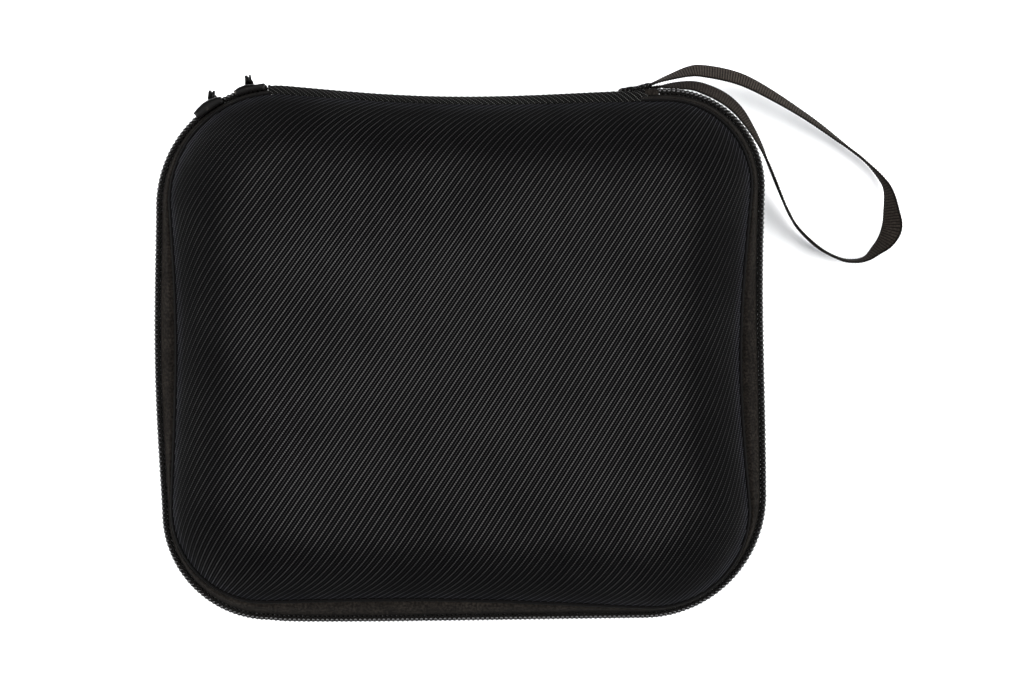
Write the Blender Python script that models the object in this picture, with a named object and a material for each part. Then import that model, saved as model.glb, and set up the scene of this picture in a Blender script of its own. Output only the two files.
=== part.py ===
"""Miniature carry case: a semi-hard zip case with a foam tray, a sewn hinge and a wrist loop.

The case lies flat on its base. +X runs along the hinge, +Y points from the opening edge to the
hinge, and the origin is the centre of the flat patch that the base stands on. Both halves share
one description: "depth from the parting plane" is measured up in the lid and down in the base.
All sizes are millimetres; make_mesh turns them into metres.
"""

import math
from collections import namedtuple

import bmesh
import bpy
from mathutils import Matrix, Vector

MM = 0.001

# Overall size
PARTING_Z = 36.0
BASE_DEPTH = 36.0
LID_EDGE_DEPTH = 32.5
LID_CROWN = 3.5
RIM_DEPTH = 7.0
ROUNDING = 34.0
RIM_SLOPE = math.radians(68)

# Outlines seen from above, anticlockwise from the hinge's right-hand corner. The signs say which
# way is outward, start is the angle where the corner begins, and keep is how much of an inset
# comes off the radius: 1 keeps the arcs concentric, less lets the wall slope more in the corners.
Corner = namedtuple("Corner", "x y radius x_sign y_sign start keep")
COIL_CORNERS = [
    Corner(80.9, 65.5, 37.9, 1, 1, 0, 1.0),
    Corner(-71.3, 57.3, 47.9, -1, 1, 90, 1.0),
    Corner(-74.7, -62.3, 42.1, -1, -1, 180, 1.0),
    Corner(71.4, -55.6, 48.0, 1, -1, 270, 1.0),
]
RIM_CORNERS = [
    Corner(79.9, 65.1, 33.1, 1, 1, 0, 0.6),
    Corner(-70.8, 58.8, 42.2, -1, 1, 90, 0.6),
    Corner(-76.3, -60.6, 36.0, -1, -1, 180, 0.6),
    Corner(74.3, -61.1, 37.8, 1, -1, 270, 0.6),
]
# How far each side bows outward between its corners, and a power that moves the bow's peak: one
# for each of the hinge side, left, front and right. Over 1, the peak is past the middle.
Side = namedtuple("Side", "bow power")
COIL_SIDES = [Side(-3.6, 1.2), Side(1.7, 1.06), Side(0.8, 0.45), Side(-0.9, 1.6)]
RIM_SIDES = [Side(-2.7, 1.16), Side(-2.2, 0.89), Side(-1.9, 0.92), Side(-3.9, 0.97)]
BOW_SHARPNESS = 1.16
CORNER_STEPS = 8
SIDE_STEPS = 5

# Wall of each half: fabric-faced foam shell, then the lining
WALL = 4.5
GAP = 0.3
LINING = 0.8
SLANT = 1.08
WALL_STEPS = 6

# Zip
ZIP_START = 95.8
ZIP_END_X = 76.4
STOP_END_X = 74.9
COIL_FROM = 0.8
COIL_TO = 3.2
COIL_THICK = 2.2
TAPE_THICK = 0.7
SLIDER_SPAN = 7.0
LEFT_SLIDER_ANGLE = 124.9
TOP_SLIDER_ANGLE = 103.2
LEFT_PULL_ANGLE = 121.6
TOP_PULL_ANGLE = 103.8
LEFT_PULL_TURN = -34.0
TOP_PULL_TURN = -6.0
SLIDER_PLATE = 0.7
SLIDER_PIVOT_Z = 34.5
PULL_BAR_OUT = 3.1
PULL_BAR_DEPTH = 2.0
PULL_EYE = 1.2
PULL_EYE_WALL = 0.5
PULL_LENGTH = 17.0
PULL_WIDTH = 3.6
PULL_THICK = 1.0

# Hinge strip
STRIP_RIGHT_X = 70.2
STRIP_LEFT_ANGLE = 93.6
STRIP_THICK = 1.2
HINGE_Y = 107.6
ANCHOR_LEFT = 70.6
ANCHOR_RIGHT = 74.2

# Foam
TRAY_TOP_DEPTH = 2.5
TRAY_BOTTOM_DEPTH = 23.0
LID_FOAM_DEPTH = 4.0
SLOT_COLUMNS = 4
SLOT_ROWS = 2
SLOT_WIDTH = 38.0
SLOT_LENGTH = 64.0
SLOT_WALL = 8.0

# Wrist strap: centre line, with the lean of the webbing's width from level, in degrees.
# A lean under 90 puts the high edge on the loop's inside, one over 90 on its outside.
STRAP_WIDTH = 10.0
STRAP_THICK = 1.2
STRAP_STEPS = 2
STRAP_ROUTE = [
    (74.7, 105.7, 30.5, 88),
    (80.2, 108.0, 29.3, 78),
    (90.3, 111.3, 26.0, 65),
    (96.6, 111.6, 23.5, 61),
    (106.7, 110.1, 19.5, 60),
    (114.8, 107.5, 16.5, 62),
    (125.0, 102.4, 13.0, 66),
    (135.2, 96.5, 10.0, 72),
    (143.5, 91.1, 8.0, 77),
    (151.7, 85.2, 6.3, 82),
    (156.0, 82.0, 5.9, 83),
    (161.9, 77.4, 5.7, 84),
    (167.8, 71.3, 5.5, 89),
    (171.4, 65.5, 5.6, 98),
    (172.9, 56.3, 5.0, 119),
    (173.1, 50.2, 4.2, 133),
    (170.7, 45.1, 4.2, 125),
    (166.9, 41.3, 4.8, 109),
    (163.0, 38.1, 5.5, 98),
    (158.1, 36.9, 5.8, 93),
    (152.0, 37.8, 5.8, 94),
    (143.4, 42.3, 6.0, 95),
    (135.3, 49.7, 7.5, 95),
    (131.1, 56.2, 9.0, 97),
    (127.0, 65.0, 11.5, 96),
    (122.7, 74.8, 14.5, 97),
    (119.1, 82.5, 17.0, 101),
    (114.5, 90.0, 20.0, 107),
    (109.5, 96.3, 23.0, 114),
    (103.3, 101.0, 26.0, 118),
    (95.6, 104.3, 28.6, 116),
    (90.1, 105.5, 29.0, 110),
    (83.0, 105.2, 30.0, 102),
    (78.0, 104.8, 30.4, 93),
    (74.7, 104.2, 30.5, 90),
]


# Materials


def material(name, colour, roughness, metallic=0.0):
    made = bpy.data.materials.new(name)
    made.use_nodes = True
    shader = made.node_tree.nodes["Principled BSDF"]
    shader.inputs["Base Color"].default_value = (*colour, 1.0)
    shader.inputs["Roughness"].default_value = roughness
    shader.inputs["Metallic"].default_value = metallic
    return made


# Outlines


def side_point(start, end, side, outward, t):
    """A point a share t along a side that bows gently outward."""
    push = side.bow * math.sin(math.pi * t**side.power) ** BOW_SHARPNESS
    x = start[0] + (end[0] - start[0]) * t + outward[0] * push
    y = start[1] + (end[1] - start[1]) * t + outward[1] * push
    return (x, y)


def corner_arc(corner, inset, first, last, steps):
    """Points along a corner, from angle first to last."""
    radius = corner.radius - corner.keep * inset
    x = corner.x - corner.x_sign * inset * (1 - corner.keep)
    y = corner.y - corner.y_sign * inset * (1 - corner.keep)
    points = []
    for i in range(steps + 1):
        angle = math.radians(first + (last - first) * i / steps)
        points.append((x + radius * math.cos(angle), y + radius * math.sin(angle)))
    return points


def side_between(start, end, side, index):
    outward = [(0, 1), (-1, 0), (0, -1), (1, 0)][index]
    return [side_point(start, end, side, outward, i / SIDE_STEPS) for i in range(1, SIDE_STEPS)]


def hinge_side_run(corners, sides, inset, first_x, last_x, steps):
    """Points along the hinge side from one x to another, both within its straight run."""
    right = corner_arc(corners[0], inset, 0, 90, 1)[-1]
    left = corner_arc(corners[1], inset, 90, 180, 1)[0]
    points = []
    for i in range(steps + 1):
        x = first_x + (last_x - first_x) * i / steps
        share = max(0, (right[0] - x) / (right[0] - left[0]))
        points.append(side_point(right, left, sides[0], (0, 1), share))
    return points


def ring(corners, sides, inset):
    """The whole closed outline, inset by so many millimetres."""
    arcs = [corner_arc(c, inset, c.start, c.start + 90, CORNER_STEPS) for c in corners]
    points = []
    for i, arc in enumerate(arcs):
        points += arc
        points += side_between(arc[-1], arcs[(i + 1) % 4][0], sides[i], i)
    return points


def zip_line(corners, sides, inset):
    """The open outline that the zip follows: all of it but the hinge side."""
    spans = [(0, 90), (ZIP_START, 180), (180, 270), (270, 360)]
    arcs = [corner_arc(c, inset, *spans[i], CORNER_STEPS) for i, c in enumerate(corners)]
    points = list(arcs[1])
    for i in (1, 2, 3):
        following = arcs[(i + 1) % 4]
        points += side_between(arcs[i][-1], following[0], sides[i], i)
        points += following
    return points + hinge_side_run(corners, sides, inset, points[-1][0], ZIP_END_X, 2)[1:]


def strip_line(corners, sides, inset):
    """The hinge side, from the strap's anchor to the end of the zip on the left."""
    arc = corner_arc(corners[1], inset, 90, STRIP_LEFT_ANGLE, 1)
    run = hinge_side_run(corners, sides, inset, STRIP_RIGHT_X, arc[0][0], 2 * SIDE_STEPS)
    return run[:-1] + arc


def coil_outline(path, inset):
    return path(COIL_CORNERS, COIL_SIDES, inset)


def rim_outline(path, inset):
    return path(RIM_CORNERS, RIM_SIDES, inset)


# Wall profile, as (inset from the rim, depth from the parting plane)


def wall_point(skin, deepest, t):
    """A point on the moulded wall, skin millimetres inside its outer face; t is 0 at the rim."""
    rise = deepest - skin - RIM_DEPTH
    start = (skin * SLANT, RIM_DEPTH)
    lift = 0.72 * rise
    steep = (start[0] + lift / math.tan(RIM_SLOPE), RIM_DEPTH + lift)
    level = (0.5 * ROUNDING, deepest - skin)
    end = (ROUNDING, deepest - skin)
    weights = ((1 - t) ** 3, 3 * t * (1 - t) ** 2, 3 * t**2 * (1 - t), t**3)
    corners = (start, steep, level, end)
    return tuple(sum(w * c[axis] for w, c in zip(weights, corners)) for axis in (0, 1))


def wall_profile(skin, deepest, steps, start=0.0, end=1.0):
    return [wall_point(skin, deepest, start + (end - start) * i / steps) for i in range(steps + 1)]


def share_at_depth(skin, deepest, depth):
    """The share t at which the wall reaches a depth, by halving."""
    low, high = 0.0, 1.0
    for _ in range(40):
        middle = (low + high) / 2
        if wall_point(skin, deepest, middle)[1] < depth:
            low = middle
        else:
            high = middle
    return low


# Mesh building


def make_mesh(name, vertices, faces, look):
    """A closed mesh in metres, with its faces turned outward."""
    mesh = bpy.data.meshes.new(name)
    mesh.from_pydata([Vector(v) * MM for v in vertices], [], faces)
    shape = bmesh.new()
    shape.from_mesh(mesh)
    bmesh.ops.recalc_face_normals(shape, faces=shape.faces)
    shape.to_mesh(mesh)
    shape.free()
    mesh.shade_smooth()
    mesh.set_sharp_from_angle(angle=math.radians(35))
    mesh.materials.append(look)
    made = bpy.data.objects.new(name, mesh)
    bpy.context.scene.collection.objects.link(made)
    return made


def height(side, depth):
    return PARTING_Z + side * depth


def lift(points, side, depth):
    return [(x, y, height(side, depth)) for x, y in points]


def stack_rings(rings, first_tip=None, last_tip=None):
    """Vertices and faces of a skin through rings of equal count, closed by a tip or a flat cap."""
    count = len(rings[0])
    vertices = [v for one in rings for v in one]
    faces = []
    for i in range(len(rings) - 1):
        for j in range(count):
            k = (j + 1) % count
            faces.append((i * count + j, i * count + k, (i + 1) * count + k, (i + 1) * count + j))
    for tip, start in ((first_tip, 0), (last_tip, (len(rings) - 1) * count)):
        if tip is None:
            faces.append(tuple(range(start, start + count)))
            continue
        vertices.append(tip)
        faces += [(start + j, start + (j + 1) % count, len(vertices) - 1) for j in range(count)]
    return vertices, faces


def sweep(lines):
    """Vertices and faces of an open bar: one line of points for each edge of its section."""
    count = len(lines)
    length = len(lines[0])
    vertices = [line[i] for i in range(length) for line in lines]
    faces = [tuple(range(count)), tuple(range((length - 1) * count, length * count))]
    for i in range(length - 1):
        for j in range(count):
            k = (j + 1) % count
            faces.append((i * count + j, i * count + k, (i + 1) * count + k, (i + 1) * count + j))
    return vertices, faces


def closed_sweep(lines):
    """The same for a bar that meets its own start."""
    count = len(lines)
    length = len(lines[0])
    vertices = [line[i] for i in range(length) for line in lines]
    faces = []
    for i in range(length):
        after = (i + 1) % length
        for j in range(count):
            k = (j + 1) % count
            corner = (i * count + j, i * count + k, after * count + k, after * count + j)
            faces.append(corner)
    return vertices, faces


def crown_rings(side, skin, deepest, crown):
    """Rings from the wall's inner end towards the middle of a crowned panel."""
    edge = rim_outline(ring, ROUNDING)
    rings = []
    for share in (0.66, 0.33):
        depth = deepest - skin + crown * (1 - share**2)
        rings.append([(x * share, y * share, height(side, depth)) for x, y in edge])
    return rings


def wall_rings(side, skin, deepest, steps, start=0.0):
    profile = wall_profile(skin, deepest, steps, start)
    return [lift(rim_outline(ring, inset), side, depth) for inset, depth in profile]


def cap_tip(side, skin, deepest, crown):
    return (0, 0, height(side, deepest - skin + crown)) if crown else None


def bowl(name, side, outer_skin, inner_skin, deepest, crown, look):
    """One layer of a half: an outer and an inner skin joined round the rim."""
    outer = wall_rings(side, outer_skin, deepest, WALL_STEPS)
    inner = wall_rings(side, inner_skin, deepest, WALL_STEPS)
    if crown:
        outer += crown_rings(side, outer_skin, deepest, crown)
        inner += crown_rings(side, inner_skin, deepest, crown)
    rings = outer[::-1] + inner
    tips = [cap_tip(side, skin, deepest, crown) for skin in (outer_skin, inner_skin)]
    return make_mesh(name, *stack_rings(rings, *tips), look)


# The two halves

HALVES = {"base": (-1, BASE_DEPTH, 0.0), "lid": (1, LID_EDGE_DEPTH, LID_CROWN)}


def half_shells(name, looks):
    side, deepest, crown = HALVES[name]
    lining_skin = WALL + GAP
    bowl(f"{name}_shell", side, 0.0, WALL, deepest, crown, looks["shell_fabric"])
    inner = lining_skin + LINING
    bowl(f"{name}_lining", side, lining_skin, inner, deepest, crown, looks["lining"])


def seam_binding(name, looks):
    """The tape folded over the wall's raw edge, all the way round inside."""
    side = HALVES[name][0]
    near, far = RIM_DEPTH - GAP, RIM_DEPTH - 1.3
    first, last = 1.6, WALL * SLANT + GAP + LINING
    section = [(first, near), (last, near), (last, far), (first, far)]
    lines = [lift(rim_outline(ring, inset), side, depth) for inset, depth in section]
    make_mesh(f"{name}_seam_binding", *closed_sweep(lines), looks["binding"])


def zip_tape(name, looks):
    side = HALVES[name][0]
    outer = COIL_THICK + GAP
    inner = outer + TAPE_THICK
    lines = [
        lift(coil_outline(zip_line, outer), side, COIL_FROM),
        lift(coil_outline(zip_line, outer), side, COIL_TO),
        lift(rim_outline(zip_line, -0.2), side, RIM_DEPTH - GAP),
        lift(rim_outline(zip_line, 1.3), side, RIM_DEPTH - GAP),
        lift(coil_outline(zip_line, inner), side, COIL_TO + 0.2),
        lift(coil_outline(zip_line, inner), side, COIL_FROM),
    ]
    make_mesh(f"{name}_zip_tape", *sweep(lines), looks["zip_tape"])


def zip_coil(name, looks):
    side = HALVES[name][0]
    section = [(0, COIL_FROM), (0, COIL_TO), (COIL_THICK, COIL_TO), (COIL_THICK, COIL_FROM)]
    lines = [lift(coil_outline(zip_line, inset), side, depth) for inset, depth in section]
    make_mesh(f"{name}_zip_coil", *sweep(lines), looks["zip_coil"])


def hinge_strip(name, looks):
    """Half of the ribbed cloth strip that bulges out between the two rims."""
    side = HALVES[name][0]
    lines = [
        lift(coil_outline(strip_line, 0.3), side, COIL_FROM),
        lift(coil_outline(strip_line, 0.3), side, COIL_TO),
        lift(rim_outline(strip_line, -0.2), side, RIM_DEPTH - GAP),
        lift(rim_outline(strip_line, 1.3), side, RIM_DEPTH - GAP),
        lift(coil_outline(strip_line, 0.3 + STRIP_THICK), side, COIL_TO - 0.4),
        lift(coil_outline(strip_line, 0.3 + STRIP_THICK), side, COIL_FROM),
    ]
    make_mesh(f"{name}_hinge_strip", *sweep(lines), looks["hinge_fabric"])


# Foam


def solid_in_wall(name, side, skin, deepest, crown, rings, start, look):
    """Foam that fills a half from the given straight rings into its rounded end."""
    rounded = wall_rings(side, skin, deepest, WALL_STEPS, start)
    if crown:
        rounded += crown_rings(side, skin, deepest, crown)
    tip = cap_tip(side, skin, deepest, crown)
    return make_mesh(name, *stack_rings(rings + rounded, None, tip), look)


def foam_skin():
    return WALL + GAP + LINING + GAP + 0.1


def base_pad(looks):
    skin = foam_skin()
    start = share_at_depth(skin, BASE_DEPTH, TRAY_BOTTOM_DEPTH + GAP)
    solid_in_wall("base_foam_pad", -1, skin, BASE_DEPTH, 0.0, [], start, looks["foam"])


def lid_pad(looks):
    skin = foam_skin()
    edge = [lift(rim_outline(ring, skin * SLANT), 1, LID_FOAM_DEPTH)]
    solid_in_wall("lid_foam_pad", 1, skin, LID_EDGE_DEPTH, LID_CROWN, edge, 0.0, looks["foam"])


def slot_centres():
    pitch_x = SLOT_WIDTH + SLOT_WALL
    pitch_y = SLOT_LENGTH + SLOT_WALL
    for row in range(SLOT_ROWS):
        for column in range(SLOT_COLUMNS):
            x = (column - (SLOT_COLUMNS - 1) / 2) * pitch_x
            y = (row - (SLOT_ROWS - 1) / 2) * pitch_y
            yield x, y


def foam_tray(looks):
    skin = foam_skin()
    end = share_at_depth(skin, BASE_DEPTH, TRAY_BOTTOM_DEPTH)
    rings = [lift(rim_outline(ring, skin * SLANT), -1, TRAY_TOP_DEPTH)]
    for inset, depth in wall_profile(skin, BASE_DEPTH, 3, 0.0, end):
        rings.append(lift(rim_outline(ring, inset), -1, depth))
    tray = make_mesh("foam_tray", *stack_rings(rings), looks["foam"])
    cutter_mesh = bmesh.new()
    for x, y in slot_centres():
        place = Matrix.Translation(Vector((x, y, height(-1, TRAY_BOTTOM_DEPTH / 2))) * MM)
        size = Matrix.Diagonal((SLOT_WIDTH * MM, SLOT_LENGTH * MM, 2 * TRAY_BOTTOM_DEPTH * MM, 1))
        bmesh.ops.create_cube(cutter_mesh, size=1.0, matrix=place @ size)
    mesh = bpy.data.meshes.new("tray_slot_cutter")
    cutter_mesh.to_mesh(mesh)
    cutter_mesh.free()
    cut_with(tray, mesh)


def cut_with(target, mesh):
    cutter = bpy.data.objects.new(mesh.name, mesh)
    bpy.context.scene.collection.objects.link(cutter)
    cutter.hide_render = True
    cutter.display_type = "WIRE"
    cut = target.modifiers.new("cut", "BOOLEAN")
    cut.operation = "DIFFERENCE"
    cut.solver = "EXACT"
    cut.object = cutter


# Zip hardware, in polar coordinates round the centre of the left-hand hinge corner


def around_corner(angle, inset, depth):
    x, y = corner_arc(COIL_CORNERS[1], inset, angle, angle, 1)[0]
    return (x, y, height(-1, depth))


def arc_sweep(section, first, last, steps):
    angles = [first + (last - first) * i / steps for i in range(steps + 1)]
    return sweep([[around_corner(a, inset, depth) for a in angles] for inset, depth in section])


def local_frame(angle):
    """Origin on the pull's bar, with axes along the tangent, outward and up."""
    turn = math.radians(angle)
    out = Vector((math.cos(turn), math.sin(turn), 0))
    tangent = Vector((-math.sin(turn), math.cos(turn), 0))
    origin = Vector(around_corner(angle, -PULL_BAR_OUT, PULL_BAR_DEPTH))
    return origin, tangent, out


def slider_body(name, angle, pull_angle, look):
    """A channel that straddles the base's coil, with a low bridge for the pull."""
    plate_out, plate_in = -0.4 - SLIDER_PLATE, -0.4
    inner_in, inner_out = 4.4, 4.4 - SLIDER_PLATE
    section = [
        (plate_out, -0.3), (plate_out, 5.0), (plate_in, 5.0), (plate_in, 0.45),
        (inner_out, 0.45), (inner_out, 3.0), (inner_in, 3.0), (inner_in, -0.3),
    ]
    first, last = angle - SLIDER_SPAN, angle + SLIDER_SPAN
    body = make_mesh(name, *arc_sweep(section, first, last, 4), look)
    origin, tangent, out = local_frame(pull_angle)
    bar, reach, foot = 0.4, 2.6, PULL_BAR_OUT - 0.7
    outline = [
        (-reach, -foot), (-reach, bar), (reach, bar), (reach, -foot),
        (reach - 0.8, -foot), (reach - 0.8, -bar), (0.8 - reach, -bar), (0.8 - reach, -foot),
    ]
    up = Vector((0, 0, bar))
    lines = [[origin + tangent * t + out * r + up * s for s in (-1, 1)] for t, r in outline]
    bridge = make_mesh(name + "_bridge", *sweep(lines), look)
    bridge.hide_render = True
    bridge.display_type = "WIRE"
    joined = body.modifiers.new("bridge", "BOOLEAN")
    joined.operation = "UNION"
    joined.solver = "EXACT"
    joined.object = bridge


def pull_outline():
    """Round eye at the top, then a tab that widens and ends round: (across, down) points."""
    ring_radius = PULL_EYE + PULL_EYE_WALL
    half = PULL_WIDTH / 2
    points = []
    for i in range(7):
        angle = math.radians(-20 + 220 * i / 6)
        points.append((ring_radius * math.cos(angle), -ring_radius * math.sin(angle)))
    points += [(-half, 4.2), (-half, PULL_LENGTH - half)]
    for i in range(1, 6):
        angle = math.pi * i / 6
        points.append((-half * math.cos(angle), PULL_LENGTH - half + half * math.sin(angle)))
    points += [(half, PULL_LENGTH - half), (half, 4.2)]
    return points


def pull_tab(name, angle, turn, look):
    origin, tangent, out = local_frame(angle)
    yaw = Matrix.Rotation(math.radians(turn), 3, "Z")
    across, side = yaw @ out, yaw @ tangent
    lines = []
    for across_by, down in pull_outline():
        point = origin + across * across_by + Vector((0, 0, -down))
        lines.append([point + side * (s * PULL_THICK / 2) for s in (-1, 1)])
    tab = make_mesh(name, *sweep(lines), look)
    drill = bmesh.new()
    turned = Matrix.Translation(origin * MM) @ side.to_track_quat("Z", "Y").to_matrix().to_4x4()
    bmesh.ops.create_cone(
        drill,
        cap_ends=True,
        segments=10,
        radius1=PULL_EYE * MM,
        radius2=PULL_EYE * MM,
        depth=4 * PULL_THICK * MM,
        matrix=turned,
    )
    mesh = bpy.data.meshes.new(name + "_eye_cutter")
    drill.to_mesh(mesh)
    drill.free()
    cut_with(tab, mesh)


def zip_stops(looks):
    section = [(-0.1, 0.6), (-0.1, 3.6), (3.4, 3.6), (3.4, 0.6)]
    left = arc_sweep(section, 94.2, 95.4, 1)
    make_mesh("zip_stop_left", *left, looks["slider_metal"])
    lines = []
    for inset, depth in section:
        run = hinge_side_run(COIL_CORNERS, COIL_SIDES, inset, ZIP_END_X - GAP, STOP_END_X, 1)
        lines.append(lift(run, -1, depth))
    make_mesh("zip_stop_right", *sweep(lines), looks["slider_metal"])


# Strap


def strap_anchor(looks):
    """The folded end of the hinge strip, stitched round both ends of the strap."""
    section = [(100.6, 6.6), (100.6, 1.2), (105.0, 1.2), (105.4, 3.0), (104.2, 5.6)]
    xs = [ANCHOR_LEFT, (ANCHOR_LEFT + ANCHOR_RIGHT) / 2, ANCHOR_RIGHT]
    lines = [[(x, y, height(-1, depth)) for x in xs] for y, depth in section]
    make_mesh("strap_anchor_fold", *sweep(lines), looks["hinge_fabric"])


def smooth_route(points, steps):
    """Points along a Catmull-Rom curve through the given ones."""
    last = len(points) - 1
    found = []
    for i in range(last):
        p = [Vector(points[min(max(j, 0), last)]) for j in (i - 1, i, i + 1, i + 2)]
        for step in range(steps):
            t = step / steps
            blend = 2 * p[1] + (p[2] - p[0]) * t
            blend += (2 * p[0] - 5 * p[1] + 4 * p[2] - p[3]) * t**2
            blend += (3 * p[1] - p[0] - 3 * p[2] + p[3]) * t**3
            found.append(blend / 2)
    return found + [Vector(points[last])]


def wrist_strap(looks):
    """Flat webbing, turned about its centre line by the lean at each point."""
    stations = smooth_route(STRAP_ROUTE, STRAP_STEPS)
    lines = [[], [], [], []]
    for i, station in enumerate(stations):
        before = stations[max(i - 1, 0)]
        after = stations[min(i + 1, len(stations) - 1)]
        ahead = Vector((after[0] - before[0], after[1] - before[1], 0)).normalized()
        inward = Vector((ahead.y, -ahead.x, 0))
        lean = math.radians(station[3])
        across = inward * math.cos(lean) + Vector((0, 0, math.sin(lean)))
        through = ahead.cross(across)
        centre = Vector(station[:3])
        corners = [(-1, -1), (1, -1), (1, 1), (-1, 1)]
        for line, (a, b) in zip(lines, corners):
            line.append(centre + across * (a * STRAP_WIDTH / 2) + through * (b * STRAP_THICK / 2))
    make_mesh("wrist_strap", *sweep(lines), looks["webbing"])


# Build


def pivot(name, point, holder=None):
    """An empty on a joint's axis, for the pieces that turn on it."""
    made = bpy.data.objects.new(name, None)
    made.empty_display_size = PULL_LENGTH * MM
    made.location = Vector(point) * MM
    bpy.context.scene.collection.objects.link(made)
    if holder:
        hang_on(holder, [name])
    return made


def hang_on(holder, names):
    """Parents objects to a pivot and leaves them where they are."""
    for name in names:
        piece = bpy.data.objects[name]
        piece.parent = holder
        piece.matrix_parent_inverse = Matrix.Translation(-holder.location)


def set_pivots():
    lid_pieces = [o.name for o in bpy.data.objects if o.name.startswith("lid_")]
    hang_on(pivot("hinge_pivot", (0, HINGE_Y, PARTING_Z)), lid_pieces)
    turns = (("left", LEFT_PULL_ANGLE), ("top", TOP_PULL_ANGLE))
    for name, pull_angle in turns:
        corner = COIL_CORNERS[1]
        slider = pivot(f"{name}_slider_pivot", (corner.x, corner.y, SLIDER_PIVOT_Z))
        hang_on(slider, [f"{name}_zip_slider", f"{name}_zip_slider_bridge"])
        bar = local_frame(pull_angle)[0]
        hang_on(pivot(f"{name}_pull_pivot", bar, slider), [f"{name}_pull_tab"])


def main():
    for old in list(bpy.data.objects):
        bpy.data.objects.remove(old, do_unlink=True)
    looks = {
        "shell_fabric": material("shell_fabric", (0.014, 0.014, 0.015), 0.85),
        "lining": material("lining", (0.02, 0.02, 0.022), 0.9),
        "binding": material("binding", (0.016, 0.015, 0.014), 0.9),
        "zip_tape": material("zip_tape", (0.026, 0.023, 0.021), 0.9),
        "zip_coil": material("zip_coil", (0.012, 0.012, 0.012), 0.45),
        "hinge_fabric": material("hinge_fabric", (0.016, 0.016, 0.016), 0.85),
        "foam": material("foam", (0.03, 0.03, 0.032), 0.95),
        "slider_metal": material("slider_metal", (0.03, 0.028, 0.028), 0.35, 0.8),
        "webbing": material("webbing", (0.055, 0.048, 0.043), 0.8),
    }
    for name in HALVES:
        half_shells(name, looks)
        seam_binding(name, looks)
        zip_tape(name, looks)
        zip_coil(name, looks)
        hinge_strip(name, looks)
    base_pad(looks)
    lid_pad(looks)
    foam_tray(looks)
    metal = looks["slider_metal"]
    slider_body("left_zip_slider", LEFT_SLIDER_ANGLE, LEFT_PULL_ANGLE, metal)
    slider_body("top_zip_slider", TOP_SLIDER_ANGLE, TOP_PULL_ANGLE, metal)
    pull_tab("left_pull_tab", LEFT_PULL_ANGLE, LEFT_PULL_TURN, metal)
    pull_tab("top_pull_tab", TOP_PULL_ANGLE, TOP_PULL_TURN, metal)
    zip_stops(looks)
    strap_anchor(looks)
    wrist_strap(looks)
    set_pivots()


main()
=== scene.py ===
"""Miniature carry case: ribbed cloth shell halves, coil zip, sewn hinge, foam inside, wrist strap.

Everything is worked out in millimetres in the CAD's frame and made into metres by add_piece.
"Depth" is measured away from the parting plane, up in the lid and down in the base, and "inset"
is measured inward from an outline, as in the CAD.
"""

import math
from collections import namedtuple

import bmesh
import bpy
import numpy as np
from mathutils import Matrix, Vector


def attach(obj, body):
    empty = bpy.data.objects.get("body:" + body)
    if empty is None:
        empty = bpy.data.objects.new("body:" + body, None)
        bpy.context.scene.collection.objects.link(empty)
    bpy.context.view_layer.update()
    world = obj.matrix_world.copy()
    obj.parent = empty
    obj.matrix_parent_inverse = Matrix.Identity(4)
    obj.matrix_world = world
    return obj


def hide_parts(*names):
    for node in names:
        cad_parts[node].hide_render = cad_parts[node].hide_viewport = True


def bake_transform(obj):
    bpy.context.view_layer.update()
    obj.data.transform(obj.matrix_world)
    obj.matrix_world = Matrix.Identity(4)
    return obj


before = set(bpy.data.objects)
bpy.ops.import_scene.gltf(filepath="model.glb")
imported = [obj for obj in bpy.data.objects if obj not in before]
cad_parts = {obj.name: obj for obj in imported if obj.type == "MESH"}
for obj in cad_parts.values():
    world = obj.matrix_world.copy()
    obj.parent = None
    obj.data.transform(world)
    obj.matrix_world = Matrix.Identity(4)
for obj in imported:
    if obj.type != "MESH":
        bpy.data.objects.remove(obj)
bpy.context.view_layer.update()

MM = 0.001

# Sizes shared with the CAD
PARTING_Z = 36.0
RIM_DEPTH = 7.0
ROUNDING = 34.0
RIM_SLOPE = math.radians(68)
WALL = 4.5
GAP = 0.3
LINING = 0.8
SLANT = 1.08
FOAM_SKIN = WALL + GAP + LINING + GAP + 0.1
Half = namedtuple("Half", "body side deepest crown")
HALVES = [Half("base", -1, 36.0, 0.0), Half("lid", 1, 32.5, 3.5)]

Corner = namedtuple("Corner", "x y radius x_sign y_sign start keep")
Side = namedtuple("Side", "bow power")
COIL = (
    [
        Corner(80.9, 65.5, 37.9, 1, 1, 0, 1.0),
        Corner(-71.3, 57.3, 47.9, -1, 1, 90, 1.0),
        Corner(-74.7, -62.3, 42.1, -1, -1, 180, 1.0),
        Corner(71.4, -55.6, 48.0, 1, -1, 270, 1.0),
    ],
    [Side(-3.6, 1.2), Side(1.7, 1.06), Side(0.8, 0.45), Side(-0.9, 1.6)],
)
RIM = (
    [
        Corner(79.9, 65.1, 33.1, 1, 1, 0, 0.6),
        Corner(-70.8, 58.8, 42.2, -1, 1, 90, 0.6),
        Corner(-76.3, -60.6, 36.0, -1, -1, 180, 0.6),
        Corner(74.3, -61.1, 37.8, 1, -1, 270, 0.6),
    ],
    [Side(-2.7, 1.16), Side(-2.2, 0.89), Side(-1.9, 0.92), Side(-3.9, 0.97)],
)
OUTWARD = [(0, 1), (-1, 0), (0, -1), (1, 0)]
BOW_SHARPNESS = 1.16
CORNER_STEPS = 22
SIDE_STEPS = 30

ZIP_START = 94.9
COIL_START = 95.8
ZIP_END_X = 76.2
TAPE_END_X = 70.3
STRIP_RIGHT_X = 73.0
STRIP_LEFT_ANGLE = 94.7

STRAP_WIDTH = 10.0
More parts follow.
